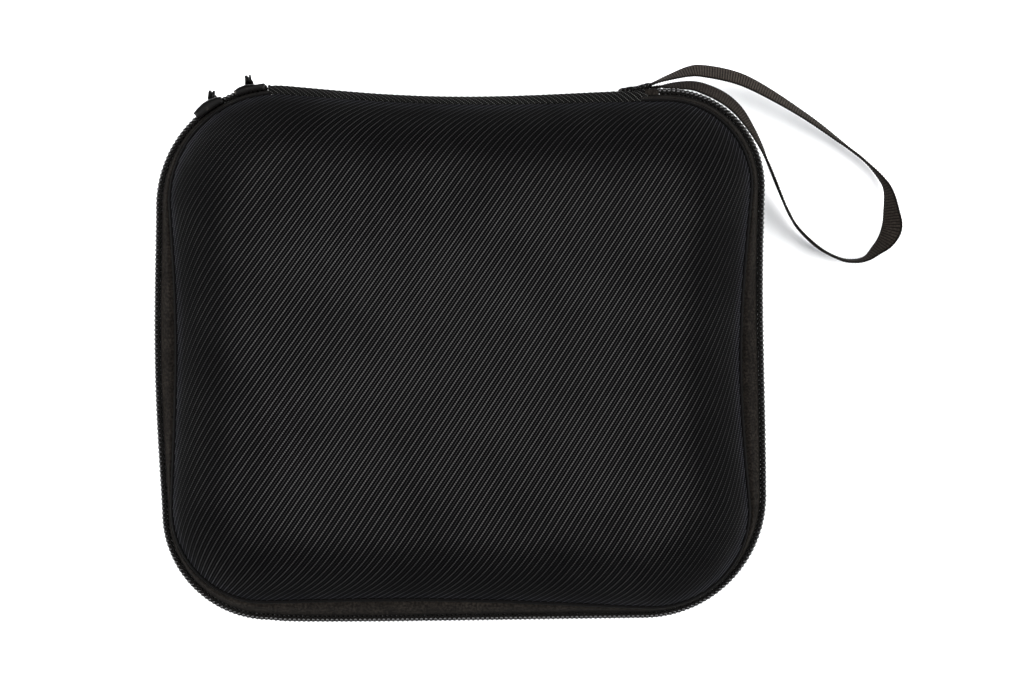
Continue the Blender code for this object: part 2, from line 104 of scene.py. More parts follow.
# The strap's centre line, x, y and z, and the lean: 90 degrees where the webbing stands on edge
STRAP_ROUTE = [
    (74.7, 105.7, 30.5, 88),
    (80.2, 108.0, 29.3, 78),
    (90.3, 111.3, 26.0, 61),
    (96.6, 111.6, 23.5, 56),
    (106.7, 110.1, 19.5, 55),
    (114.8, 107.5, 16.5, 57),
    (125.0, 102.4, 13.0, 62),
    (135.2, 96.5, 10.0, 68),
    (143.5, 91.1, 8.0, 72),
    (151.7, 85.2, 6.3, 78),
    (156.0, 82.0, 5.9, 83),
    (161.9, 77.4, 5.7, 83),
    (167.8, 71.3, 5.5, 92),
    (171.4, 65.5, 5.6, 103),
    (172.9, 56.3, 5.0, 124),
    (173.1, 50.2, 4.2, 138),
    (170.7, 45.1, 4.2, 128),
    (166.9, 41.3, 4.8, 113),
    (163.0, 38.1, 5.5, 102),
    (158.1, 36.9, 5.8, 98),
    (152.0, 37.8, 5.8, 96),
    (143.4, 42.3, 6.0, 92),
    (135.3, 49.7, 7.5, 93),
    (131.1, 56.2, 9.0, 98),
    (127.0, 65.0, 11.5, 94),
    (122.7, 74.8, 14.5, 94),
    (119.1, 82.5, 17.0, 103),
    (114.5, 90.0, 20.0, 112),
    (109.5, 96.3, 23.0, 119),
    (103.3, 101.0, 26.0, 122),
    (95.6, 104.3, 28.6, 120),
    (90.1, 105.5, 29.0, 115),
    (83.0, 105.2, 30.0, 108),
    (78.0, 104.8, 30.4, 93),
    (74.7, 104.2, 30.5, 90),
]
STRAP_THICK = 1.1
STRAP_RIB = 1.14

# Foam, with its depths and the tray's openings
TRAY_TOP = 2.5
TRAY_BOTTOM = 23.0
BASE_PAD_TOP = 23.3
LID_PAD_FACE = 4.0
SLOT_HALF_SIZE = (19.0, 32.0)
SLOT_PITCH = (46.0, 72.0)
SLOT_RADIUS = 2.0
KNOB_PITCH = 21.0
KNOB_HEIGHT = 3.4

# Ribbed cloth
RIB_PITCH = 2.35
HINGE_RIB_PITCH = 1.75
RIB_ANGLE = math.radians(56)
RIB_FAN = 0.0005
THREAD_PITCH = 0.86
RIB_PHASES = (0.0, 0.17, 0.5, 0.83)
RIB_HEIGHTS = (0.0, -0.30, -0.20, -0.30)

# Zip
TEETH_PITCH = 1.84
COIL_MIDDLE_INSET = 0.92
COIL_MIDDLE_DEPTH = 1.55
COIL_HALF_WIDTH = 0.80
COIL_HALF_HEIGHT = 1.38
SLIDER_CORNER = COIL[0][1]
ZipPull = namedtuple("ZipPull", "name angle pull_angle turn bulge")
# The bulge is how far the slider stands out from the coil at places along its length
LEFT_PULL = ZipPull("left", 125.1, 121.6, -36.0, (0.7, 1.5, 2.0, 2.1, 1.8, 1.4))
TOP_PULL = ZipPull("top", 103.9, 103.8, -6.0, (0.05, 0.45, 0.95, 1.35, 1.2, 0.5))
SLIDER_LEAST_BULGE = 0.6
PULL_BAR_OUT = 3.1
PULL_BAR_DEPTH = 2.0
PULL_LENGTH = 17.0
PULL_WIDTH = 3.6

# Cloth colours: thread, groove, and thread near the rim. The crest thread's brightness, higher on the
# hinge, is partly a painted glint and the near-black groove partly painted shade; the shell's bluish rim
# thread is a painted reflection of the bright surroundings.
SHELL_COLOURS = (0.054, 0.0523, 0.0525), (0.0006, 0.0006, 0.0007), (0.034, 0.037, 0.056)
HINGE_COLOURS = (0.075, 0.073, 0.07), (0.0009, 0.0009, 0.0009), (0.075, 0.073, 0.07)
# Other colours: dark, light
TAPE_COLOURS = (0.0016, 0.0013, 0.0011), (0.0185, 0.0155, 0.0128)
BINDING_COLOURS = (0.004, 0.0038, 0.0036), (0.018, 0.017, 0.016)
SEWING_COLOURS = (0.0015, 0.0015, 0.0015), (0.010, 0.009, 0.0082)
# Seam colours: a dark thread look on a tube, painted to stand for the shade in the gap between the
# shell's edge and the tape.
SEAM_SHADOW_COLOURS = (0.0005, 0.0005, 0.0005), (0.002, 0.0018, 0.0017)
FOAM_COLOURS = (0.008, 0.008, 0.009), (0.034, 0.034, 0.037)

# Camera straight over the case, in metres
CAMERA = (0.020, 0.0045, 1.151)


# Node materials


class Look:
    """A material and short ways to add nodes to it.

    Bump distances and the cloth's own coordinates are in millimetres, except that a ribbed cloth's
    first coordinate counts ribs. Places, and the scales of noise and cells, are in metres.
    """

    SOCKETS = {
        "Specular": "Specular IOR Level",
        "Sheen": "Sheen Weight",
        "Sheen_Roughness": "Sheen Roughness",
    }

    def __init__(self, name, colour, roughness, **uniform):
        self.material = bpy.data.materials.new(name)
        self.material.use_nodes = True
        self.tree = self.material.node_tree
        self.shader = self.tree.nodes["Principled BSDF"]
        self.shader.inputs["Base Color"].default_value = (*colour, 1)
        self.shader.inputs["Roughness"].default_value = roughness
        for word, value in uniform.items():
            self.shader.inputs[self.SOCKETS[word]].default_value = value

    def add(self, kind, inputs=(), **settings):
        node = self.tree.nodes.new("ShaderNode" + kind)
        for key, value in settings.items():
            setattr(node, key, value)
        for key, value in dict(inputs).items():
            self.feed(node.inputs[key], value)
        return node

    def feed(self, socket, value):
        if isinstance(value, bpy.types.NodeSocket):
            self.tree.links.new(value, socket)
        else:
            socket.default_value = value

    def math(self, operation, *values):
        node = self.add("Math", operation=operation)
        for socket, value in zip(node.inputs, values):
            self.feed(socket, value)
        return node.outputs[0]

    def times(self, first, second):
        return self.math("MULTIPLY", first, second)

    def plus(self, first, second):
        return self.math("ADD", first, second)

    def ease(self, value, low, high, to_low=0.0, to_high=1.0):
        """Value carried smoothly from to_low at low to to_high at high."""
        inputs = {"Value": value, "From Min": low, "From Max": high}
        inputs |= {"To Min": to_low, "To Max": to_high}
        return self.add("MapRange", inputs, interpolation_type="SMOOTHSTEP").outputs[0]

    def place(self):
        return self.add("TexCoord").outputs["Object"]

    def flat(self):
        """The cloth's own two coordinates, stored on the mesh."""
        vector = self.add("Attribute", attribute_name="cloth").outputs["Vector"]
        split = self.add("SeparateXYZ", {"Vector": vector})
        return split.outputs["X"], split.outputs["Y"]

    def noise(self, scale, detail=3.0):
        inputs = {"Scale": scale, "Detail": detail, "Vector": self.place()}
        return self.add("TexNoise", inputs).outputs["Fac"]

    def cells(self, scale):
        inputs = {"Scale": scale, "Vector": self.place()}
        return self.add("TexVoronoi", inputs).outputs["Distance"]

    def mix(self, share, first, second):
        node = self.add("Mix", data_type="RGBA")
        self.feed(node.inputs[0], share)
        for socket, colour in ((node.inputs[6], first), (node.inputs[7], second)):
            self.feed(socket, colour if isinstance(colour, bpy.types.NodeSocket) else (*colour, 1))
        return node.outputs[2]

    def colour(self, value):
        self.feed(self.shader.inputs["Base Color"], value)

    def roughness(self, value):
        self.feed(self.shader.inputs["Roughness"], value)

    def bump(self, height, distance):
        inputs = {"Height": height, "Distance": distance * MM, "Strength": 1.0}
        node = self.add("Bump", inputs)
        self.feed(self.shader.inputs["Normal"], node.outputs["Normal"])


def ribbed_cloth(name, thread, groove, painted_sheen_colour):
    """Diagonal ribs, each topped by one dotted row of thread, with a fainter row between."""
    look = Look(name, thread, 0.65, Sheen=0.002, Sheen_Roughness=0.35, Specular=0.008)
    across, along = look.flat()
    # The dotted crest rows are the thread's own pattern, painted bright partly as a painted glint
    # standing for the threads' shine; the groove colour between them is partly painted shade.
    near = look.math("PINGPONG", across, 0.5)
    crest = look.ease(near, 0.04, 0.15, 1.0, 0.0)
    between = look.ease(near, 0.38, 0.5, 0.0, 0.34)
    row = look.math("MAXIMUM", crest, between)
    shift = look.times(look.math("ROUND", look.times(across, 2.0)), 2.1)
    turn = look.math("MULTIPLY_ADD", along, 2 * math.pi / THREAD_PITCH, shift)
    dots = look.ease(look.math("SINE", turn), -0.7, 0.6, 0.08, 1.3)
    threads = look.times(row, dots)
    worn = look.ease(look.noise(45, 4), 0.3, 0.7, 0.8, 1.2)
    height = look.add("SeparateXYZ", {"Vector": look.place()}).outputs["Z"]
    depth = look.math("ABSOLUTE", look.math("SUBTRACT", height, PARTING_Z * MM))
    # Painted light: the threads are painted 1.3 times as bright on the flat crown, falling to 0.36 times
    # down the shoulders, for the lamps lighting the top more than the slopes.
    crown = look.ease(depth, 0.029, 0.0357, 0.36, 1.3)
    # Painted light: near the rim, within 8 to 16 millimetres of the parting plane, the threads get a
    # painted sheen from the bright floor and surroundings, added brightness and a mix towards the rim
    # thread colour.
    rim = look.ease(depth, 0.008, 0.016, 0.34, 0.0)
    lit = look.times(look.times(threads, worn), look.plus(crown, rim))
    fluff = look.ease(look.noise(2600, 2), 0.55, 0.75, 0.0, 0.06)
    painted_rim_sheen = look.mix(rim, thread, painted_sheen_colour)
    look.colour(look.mix(look.plus(lit, fluff), groove, painted_rim_sheen))
    look.roughness(look.ease(threads, 0.0, 1.0, 0.8, 0.5))
    look.bump(look.plus(threads, look.times(look.noise(3000), 0.4)), 0.09)
    return look.material


def tape_cloth(name, dark, light, pitch=0.62):
    """Close woven tape with a heathered thread colour."""
    look = Look(name, light, 0.85, Sheen=0.012, Sheen_Roughness=0.5, Specular=0.03)
    along, across = look.flat()
    lean = look.math("PINGPONG", across, 2.2)
    turn = look.times(look.plus(along, lean), 2 * math.pi / pitch)
    weave = look.math("MULTIPLY_ADD", look.math("SINE", turn), 0.5, 0.5)
    fleck = look.ease(look.noise(1100, 4), 0.38, 0.66)
    patch = look.ease(look.noise(120, 2), 0.3, 0.7, 0.6, 1.0)
    woven = look.times(weave, 0.35)
    share = look.times(look.math("MULTIPLY_ADD", fleck, 0.65, woven), patch)
    look.colour(look.mix(share, dark, light))
    look.bump(look.plus(weave, look.times(fleck, 1.4)), 0.14)
    return look.material


def webbing_cloth(name):
    """Crosswise ribs whose threads show as short dashes, with a darker selvedge."""
    look = Look(name, (0.025, 0.022, 0.019), 0.75, Sheen=0.006, Sheen_Roughness=0.45, Specular=0.01)
    along, across = look.flat()
    rib = look.math("SINE", look.times(along, 2 * math.pi / STRAP_RIB))
    gap = look.ease(rib, -1.0, -0.2, 0.75, 0.0)
    dash = look.math("SINE", look.times(across, 2 * math.pi / 0.52))
    weave = look.math("MULTIPLY_ADD", look.times(rib, dash), 0.5, 0.5)
    edge = look.ease(look.math("ABSOLUTE", across), 4.0, 4.5, 0.0, 0.75)
    fleck = look.ease(look.noise(1400, 3), 0.35, 0.7)
    share = look.math("MULTIPLY_ADD", weave, 0.45, look.times(fleck, 0.4))
    share = look.math("SUBTRACT", look.math("SUBTRACT", look.plus(share, 0.12), gap), edge)
    # Painted shade: the webbing is painted 1.22 times as light near the anchor and 0.8 times from 125
    # millimetres along on, towards the far bend, which lies in shade.
    share = look.times(share, look.ease(along, 50, 125, 1.22, 0.8))
    dark, light = (0.0045, 0.0038, 0.0032), (0.037, 0.0305, 0.0255)
    look.colour(look.mix(look.ease(share, -0.1, 0.9), dark, light))
    look.bump(look.math("MULTIPLY_ADD", weave, 0.6, look.times(fleck, 0.5)), 0.1)
    return look.material


def nylon(name):
    look = Look(name, (0.004, 0.0038, 0.0036), 0.2, Specular=0.42)
    grain = look.noise(900, 3)
    dark, light = (0.0016, 0.0016, 0.0016), (0.006, 0.0054, 0.005)
    look.colour(look.mix(look.ease(grain, 0.3, 0.7), dark, light))
    look.roughness(look.ease(grain, 0.3, 0.7, 0.12, 0.22))
    look.bump(look.noise(2500), 0.015)
    return look.material


def foam(name, dark, light):
    """Closed-cell foam: fine pits over a dull skin."""
    look = Look(name, light, 0.92, Specular=0.15)
    pits = look.ease(look.cells(900), 0.12, 0.45)
    skin = look.ease(look.noise(160, 4), 0.3, 0.7, 0.55, 1.0)
    look.colour(look.mix(look.times(pits, skin), dark, light))
    look.bump(look.plus(pits, look.noise(300)), 0.16)
    return look.material


def velour(name):
    look = Look(name, (0.02, 0.02, 0.023), 0.95, Sheen=0.5, Sheen_Roughness=0.3)
    pile = look.noise(1800, 4)
    look.colour(look.mix(look.ease(pile, 0.3, 0.7), (0.007, 0.007, 0.008), (0.03, 0.03, 0.034)))
    look.bump(pile, 0.12)
    return look.material


def enamelled_metal(name):
    """Dark enamel, rubbed thin in specks where the metal shows."""
    look = Look(name, (0.007, 0.0067, 0.0066), 0.3, Specular=0.06)
    worn = look.ease(look.noise(700, 5), 0.62, 0.74)
    look.colour(look.mix(worn, (0.0022, 0.002, 0.0019), (0.02, 0.018, 0.016)))
    look.feed(look.shader.inputs["Metallic"], look.times(worn, 0.9))
    look.roughness(look.ease(look.noise(260, 4), 0.3, 0.7, 0.24, 0.42))
    look.bump(look.noise(500, 3), 0.02)
    return look.material


def thread(name, dark, light):
    look = Look(name, light, 0.6, Sheen=0.008, Specular=0.04)
    twist = look.noise(2200, 2)
    look.colour(look.mix(twist, dark, light))
    look.bump(twist, 0.05)
    return look.material


def plain_floor(name):
    look = Look(name, (0.93, 0.93, 0.93), 0.7)
    soft = look.ease(look.noise(9, 2), 0.3, 0.7)
    look.colour(look.mix(soft, (0.92, 0.92, 0.92), (0.94, 0.94, 0.94)))
    return look.material


# Meshes


def grid_faces(rows, columns, wrap_rows=False, wrap_columns=False):
    """Quads over a grid of points stored row by row."""
    i = np.arange(rows if wrap_rows else rows - 1)[:, None]
    j = np.arange(columns if wrap_columns else columns - 1)[None, :]
    after_i, after_j = (i + 1) % rows, (j + 1) % columns
    corners = (i * columns + j, i * columns + after_j, after_i * columns + after_j, after_i * columns + j)
    return np.stack(np.broadcast_arrays(*corners), axis=-1).reshape(-1, 4).tolist()


def capped_faces(rows, columns):
    """Quads round a tube of closed rings, with a flat cap on each end."""
    last = (rows - 1) * columns
    caps = [list(range(columns)), list(range(last, last + columns))]
    return grid_faces(rows, columns, wrap_columns=True) + caps


def squared_circle(steps, power):
    """A circle's cosines and sines, pushed out towards a square as the power falls below one."""
    turn = np.linspace(0, 2 * np.pi, steps, endpoint=False)
    return [np.sign(wave) * np.abs(wave) ** power for wave in (np.cos(turn), np.sin(turn))]


def face_outward(mesh, merge=0):
    """Turns the faces outward, after joining points that are closer than merge, in metres."""
    shape = bmesh.new()
    shape.from_mesh(mesh)
    if merge:
        bmesh.ops.remove_doubles(shape, verts=shape.verts, dist=merge)
    bmesh.ops.recalc_face_normals(shape, faces=shape.faces)
    shape.to_mesh(mesh)
    shape.free()


def add_piece(name, points, faces, look, body, slot=None, nodes=(), cloth=None, sharp=40):
    """One object on its body, if it has just one, standing for the CAD nodes named."""
    mesh = bpy.data.meshes.new(name)
    mesh.from_pydata((np.asarray(points, float) * MM).tolist(), [], faces)
    if cloth is not None:
        layer = mesh.attributes.new("cloth", "FLOAT_VECTOR", "POINT")
        vectors = np.column_stack([cloth, np.zeros(len(cloth))])
        layer.data.foreach_set("vector", vectors.astype(np.float32).ravel())
    face_outward(mesh)
    mesh.shade_smooth()
    mesh.set_sharp_from_angle(angle=math.radians(sharp))
    mesh.materials.append(look)
    piece = bpy.data.objects.new(name, mesh)
    bpy.context.scene.collection.objects.link(piece)
    if body:
        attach(piece, body)
    if nodes:
        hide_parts(*nodes)
    return piece


def unit(vectors):
    return vectors / np.maximum(np.linalg.norm(vectors, axis=-1, keepdims=True), 1e-9)


def outward_of(line, closed):
    """Outward normals of an anticlockwise line in plan."""
    if closed:
        tangent = np.roll(line, -1, axis=0) - np.roll(line, 1, axis=0)
    else:
        tangent = np.gradient(line, axis=0)
    tangent = unit(tangent)
    return np.column_stack([tangent[:, 1], -tangent[:, 0]])


def travelled(line):
    return np.concatenate([[0], np.cumsum(np.linalg.norm(np.diff(line, axis=0), axis=1))])


def pick(line, at):
    """Points of a line at fractional indices."""
    index = np.arange(len(line))
    return np.column_stack([np.interp(at, index, line[:, k]) for k in range(line.shape[1])])


def spaced(line, spacing):
    """Fractional indices at equal distances along a line, as near the spacing as fits it."""
    length = travelled(line)
    count = max(1, round(length[-1] / spacing))
    return np.interp(np.linspace(0, length[-1], count + 1), length, np.arange(len(line)))


def tube(centre, reference, radius, sides=6, squash=1.0):
    """Points and faces of a capped round bar along a line of points."""
    ahead = unit(np.gradient(centre, axis=0))
    reference = np.broadcast_to(reference, centre.shape)
    first = unit(reference - (reference * ahead).sum(1, keepdims=True) * ahead)
    second = np.cross(ahead, first)
    radius = np.broadcast_to(radius, len(centre))[:, None, None]
    turn = np.linspace(0, 2 * np.pi, sides, endpoint=False)[None, :, None]
    circle = first[:, None] * np.cos(turn) + second[:, None] * np.sin(turn) * squash
    points = (centre[:, None] + radius * circle).reshape(-1, 3)
    return points, capped_faces(len(centre), sides)


def merged(parts):
    """Several (points, faces) as one."""
    points, faces, start = [], [], 0
    for some, more in parts:
        points.append(some)
        faces += [[index + start for index in face] for face in more]
        start += len(some)
    return np.vstack(points), faces


def vectors_of(items, field):
    """One vector field of a mesh's points, a row each."""
    values = np.zeros(len(items) * 3)
    items.foreach_get(field, values)
    return values.reshape(-1, 3)


def rib_height(across):
    """Height of the cloth over its own surface, by its place across the ribs."""
    return np.interp(across % 1.0, (*RIB_PHASES, 1.0), (*RIB_HEIGHTS, RIB_HEIGHTS[0]))


def cut_across(part, at, **clear):
    """Cuts a mesh that lies flat in plan, along x = at."""
    everything = part.verts[:] + part.edges[:] + part.faces[:]
    plane = {"plane_co": (at, 0, 0), "plane_no": (1, 0, 0)}
    bmesh.ops.bisect_plane(part, geom=everything, dist=1e-5, **plane, **clear)


def ribbed_mesh(name, points, flat, faces, slab=8):
    """Cuts a mesh along every rib's lines, in the flat cloth.

    flat holds the place across the ribs in ribs and the place along them in millimetres. The
    cutting goes slab by slab, so that each cut meets few faces.
    """
    mesh = bpy.data.meshes.new(name + "_flat")
    mesh.from_pydata(np.column_stack([flat, np.zeros(len(flat))]).tolist(), [], faces)
    layer = mesh.attributes.new("true", "FLOAT_VECTOR", "POINT")
    layer.data.foreach_set("vector", np.asarray(points, np.float32).ravel())
    low, high = math.floor(flat[:, 0].min()), math.ceil(flat[:, 0].max())
    all_points, all_flat, all_faces, start = [], [], [], 0
    for first in range(low, high, slab):
        part = bmesh.new()
        part.from_mesh(mesh)
        cut_across(part, first, clear_inner=True)
        cut_across(part, first + slab, clear_outer=True)
        for step in range(slab):
            for phase in RIB_PHASES:
                cut_across(part, first + step + phase)
        true = part.verts.layers.float_vector["true"]
        part.verts.index_update()
        all_points += [tuple(v[true]) for v in part.verts]
        all_flat += [tuple(v.co[:2]) for v in part.verts]
        all_faces += [[v.index + start for v in face.verts] for face in part.faces]
        start += len(part.verts)
        part.free()
    bpy.data.meshes.remove(mesh)
    return np.array(all_points), np.array(all_flat), all_faces


def ribbed_piece(name, points, flat, faces, look, body, **rest):
    points, flat, faces = ribbed_mesh(name, points, flat, faces)
    piece = add_piece(name, points, faces, look, body, cloth=flat, sharp=180, **rest)
    mesh = piece.data
    face_outward(mesh, merge=2e-6)
    across = vectors_of(mesh.attributes["cloth"].data, "vector")[:, 0]
    lift = rib_height(across)[:, None] * MM
    place = vectors_of(mesh.vertices, "co") + vectors_of(mesh.vertex_normals, "vector") * lift
    mesh.vertices.foreach_set("co", place.ravel())
    mesh.update()
    return piece


# Outlines


def arc(corner, inset, first, last, steps=CORNER_STEPS):
    angles = np.radians(np.linspace(first, last, steps + 1))
    radius = corner.radius - corner.keep * inset
    x = corner.x - corner.x_sign * inset * (1 - corner.keep)
    y = corner.y - corner.y_sign * inset * (1 - corner.keep)
    return np.column_stack([x + radius * np.cos(angles), y + radius * np.sin(angles)])


def side_between(start, end, side, index, shares):
    t = np.asarray(shares)[:, None]
    push = side.bow * np.sin(np.pi * t**side.power) ** BOW_SHARPNESS
    return start + (end - start) * t + np.array(OUTWARD[index]) * push


INNER_SHARES = np.linspace(0, 1, SIDE_STEPS + 1)[1:-1]


def hinge_side_run(family, inset, from_x, to_x, steps):
    """Points along the straight run of the hinge side, from one x to another."""
    corners, sides = family
    right = arc(corners[0], inset, 0, 90, 1)[-1]
    left = arc(corners[1], inset, 90, 180, 1)[0]
    shares = (right[0] - np.linspace(from_x, to_x, steps + 1)) / (right[0] - left[0])
    return side_between(right, left, sides[0], 0, np.clip(shares, 0, 1))


def ring(family, inset):
    """A whole closed outline."""
    corners, sides = family
    arcs = [arc(c, inset, c.start, c.start + 90) for c in corners]
    parts = []
    for i, one in enumerate(arcs):
        parts += [one, side_between(one[-1], arcs[(i + 1) % 4][0], sides[i], i, INNER_SHARES)]
    return np.vstack(parts)


def zip_line(family, inset, start=ZIP_START, end_x=TAPE_END_X):
    """The open outline that the zip follows."""
    corners, sides = family
    spans = [(0, 90), (start, 180), (180, 270), (270, 360)]
    arcs = [arc(c, inset, *spans[i]) for i, c in enumerate(corners)]
    parts = [arcs[1]]
    for i in (1, 2, 3):
        following = arcs[(i + 1) % 4]
        parts += [side_between(arcs[i][-1], following[0], sides[i], i, INNER_SHARES), following]
    parts.append(hinge_side_run(family, inset, parts[-1][-1][0], end_x, 4)[1:])
    return np.vstack(parts)


def coil_line(inset):
    return zip_line(COIL, inset, COIL_START, ZIP_END_X)


def strip_line(family, inset):
    """The hinge side, from the strap's anchor to the start of the zip on the left."""
    left = arc(family[0][1], inset, 90, STRIP_LEFT_ANGLE, 4)
    run = hinge_side_run(family, inset, STRIP_RIGHT_X, left[0][0], 80)
    return np.vstack([run[:-1], left])


def wall_point(skin, deepest, t):
    """(inset, depth) of the moulded wall at shares t, skin millimetres inside its outer face.

    It is a Bezier curve: steep at the rim, level where it meets the crown.
    """
    t = np.asarray(t, float)[:, None]
    rise = deepest - skin - RIM_DEPTH
    lift = 0.72 * rise
    start = np.array([skin * SLANT, RIM_DEPTH])
    steep = start + [lift / math.tan(RIM_SLOPE), lift]
    level = np.array([0.5 * ROUNDING, deepest - skin])
    end = np.array([ROUNDING, deepest - skin])
    near_rim = (1 - t) ** 3 * start + 3 * t * (1 - t) ** 2 * steep
    near_crown = 3 * t**2 * (1 - t) * level + t**3 * end
    return near_rim + near_crown


def raised(line, side, depth):
    z = np.full(len(line), PARTING_Z) + side * np.asarray(depth)
    return np.column_stack([line, z])


def dome_rings(half, skin, steps, crown_shares, lead=()):
    """Rings of one moulded skin from its rim to near its middle, and each ring's flat cloth."""
    profile = wall_point(skin, half.deepest, np.linspace(0, 1, steps + 1))
    inset, depth = profile[:, 0], profile[:, 1]
    arc_length = travelled(profile)
    extra = (arc_length[-1] - arc_length) - (inset[-1] - inset)
    rings, flats = [], []
    normal = outward_of(ring(RIM, 0), True)
    # The share of the shoulder's extra length that the flat cloth takes up, by the way it faces
    follow = (0.85 * normal[:, 0] ** 2 + 1.3 * normal[:, 1] ** 2)[:, None]
    for inset_by, depth_by in lead:
        rings.append(raised(ring(RIM, inset_by), half.side, depth_by))
        flats.append(ring(RIM, 0) + normal * follow * (extra[0] - 0.4))
    for i in range(len(profile)):
        plan = ring(RIM, inset[i])
        rings.append(raised(plan, half.side, depth[i]))
        flats.append(plan + normal * follow * extra[i])
    edge = ring(RIM, ROUNDING)
    for share in crown_shares:
        depth_by = half.deepest - skin + half.crown * (1 - share**2)
        rings.append(raised(edge * share, half.side, depth_by))
        flats.append(edge * share)
    return rings, flats


def closed_dome(rings, side, middle_depth):
    """Points and faces of rings closed by a middle point."""
    count = len(rings[0])
    points = np.vstack(rings + [[[0, 0, PARTING_Z + side * middle_depth]]])
    faces = grid_faces(len(rings), count, wrap_columns=True)
    last = (len(rings) - 1) * count
    faces += [[last + j, last + (j + 1) % count, len(points) - 1] for j in range(count)]
    return points, faces


def closed_pad(rings, side, first_depth, last_depth):
    """Points and faces of rings closed by a middle point at both ends."""
    points, faces = closed_dome(rings, side, last_depth)
    count, middle = len(rings[0]), len(points)
    points = np.vstack([points, [[0, 0, PARTING_Z + side * first_depth]]])
    faces += [[(j + 1) % count, j, middle] for j in range(count)]
    return points, faces


def in_ribs(plan):
    """Plan or flat cloth coordinates as (ribs across, millimetres along)."""
    across = plan[:, 0] * math.sin(RIB_ANGLE) - plan[:, 1] * math.cos(RIB_ANGLE)
    along = plan[:, 0] * math.cos(RIB_ANGLE) + plan[:, 1] * math.sin(RIB_ANGLE)
    across = across * (1 + RIB_FAN * along)
    return np.column_stack([across / RIB_PITCH, along])


# The two halves


def cover(half, look):
    shares = np.linspace(1, 0, 13)[1:-1]
    tuck = [(1.9, RIM_DEPTH + 0.3), (0.5, RIM_DEPTH - 0.12)]
    rings, flats = dome_rings(half, 0.0, 26, shares, tuck)
    points, faces = closed_dome(rings, half.side, half.deepest + half.crown)
    flat = in_ribs(np.vstack(flats + [[[0, 0]]]))
    name = f"{half.body}_cloth_cover"
    nodes = [f"{half.body}_shell"]
    ribbed_piece(name, points, flat, faces, look, half.body, slot="shell_fabric", nodes=nodes)


def lining(half, look):
    skin = WALL + GAP + LINING
    rings, _ = dome_rings(half, skin, 14, [0.8, 0.5, 0.25])
    points, faces = closed_dome(rings, half.side, half.deepest - skin + half.crown)
    nodes = [f"{half.body}_lining"]
    add_piece(f"{half.body}_velour_lining", points, faces, look, half.body, "lining", nodes)


def between_outlines(path, rows, at):
    """Lines of points that run between the coil's outline and the rim's.

    Each row is (share towards the rim, coil inset, rim inset, side, depth).
    """
    lines = []
    for share, coil_inset, rim_inset, side, depth in rows:
        plan = (1 - share) * path(COIL, coil_inset) + share * path(RIM, rim_inset)
        lines.append(raised(pick(plan, at), side, depth))
    return np.stack(lines, axis=1)


def band_cloth(stations):
    """Flat coordinates (along, round the section) of a closed section swept along stations."""
    length, count = stations.shape[:2]
    along = travelled(stations.mean(axis=1))[:, None] * np.ones(count)
    across = travelled(stations[length // 2])[None, :] * np.ones((length, 1))
    return np.column_stack([along.ravel(), across.ravel()])


def hinge_side_bar(section, ends):
    """A bar along the hinge side: a section of (inset, z) at each (x, scale)."""
    stations = []
    middle = section.mean(axis=0)
    for x, scale in ends:
        y = hinge_side_run(COIL, 0, x, x, 1)[0][1]
        around = middle + (section - middle) * scale
        stations.append(np.column_stack([np.full(len(section), x), y - around[:, 0], around[:, 1]]))
    return np.vstack(stations), capped_faces(len(stations), len(section))


def folded_end(half):
    """The tape's own end, turned back over the last of the coil."""
    section = rounded_bar(1.3, PARTING_Z + half.side * 2.0, 1.35, 1.7)
    return hinge_side_bar(section, ((72.0, 0.9), (72.4, 1), (76.6, 1), (77.2, 0.85), (77.5, 0.6)))


def stitch_row(name, points, normals, look, body, length, radius, slot):
    """Short thread stitches laid end to end along a line of points."""
    at = spaced(points, length * 1.25)[:-1]
    place = pick(points, at)
    out = unit(pick(normals, at))
    ahead = unit(pick(np.gradient(points, axis=0), at))
    ahead = unit(ahead - (ahead * out).sum(1, keepdims=True) * out)
    third = np.cross(ahead, out)
    # Each place along a stitch: share of its length, of its thickness, and of its lift
    profile = [(-0.5, 0.15, -0.1), (-0.3, 0.85, 0.05), (0, 1.0, 0.1)]
    profile += [(0.3, 0.85, 0.05), (0.5, 0.15, -0.1)]
    sides = 6
    turn = np.linspace(0, 2 * np.pi, sides, endpoint=False)
    rings = []
    for shift, thick, rise in profile:
        centre = place + ahead * shift * length + out * rise * radius * 4
        for angle in turn:
            rings.append(centre + (out * math.cos(angle) + third * math.sin(angle)) * radius * thick)
    stacked = np.stack(rings, axis=1)
    one = capped_faces(len(profile), sides)
    size = len(profile) * sides
    faces = [[index + k * size for index in face] for k in range(len(place)) for face in one]
    return add_piece(name, stacked.reshape(-1, 3), faces, look, body, slot)


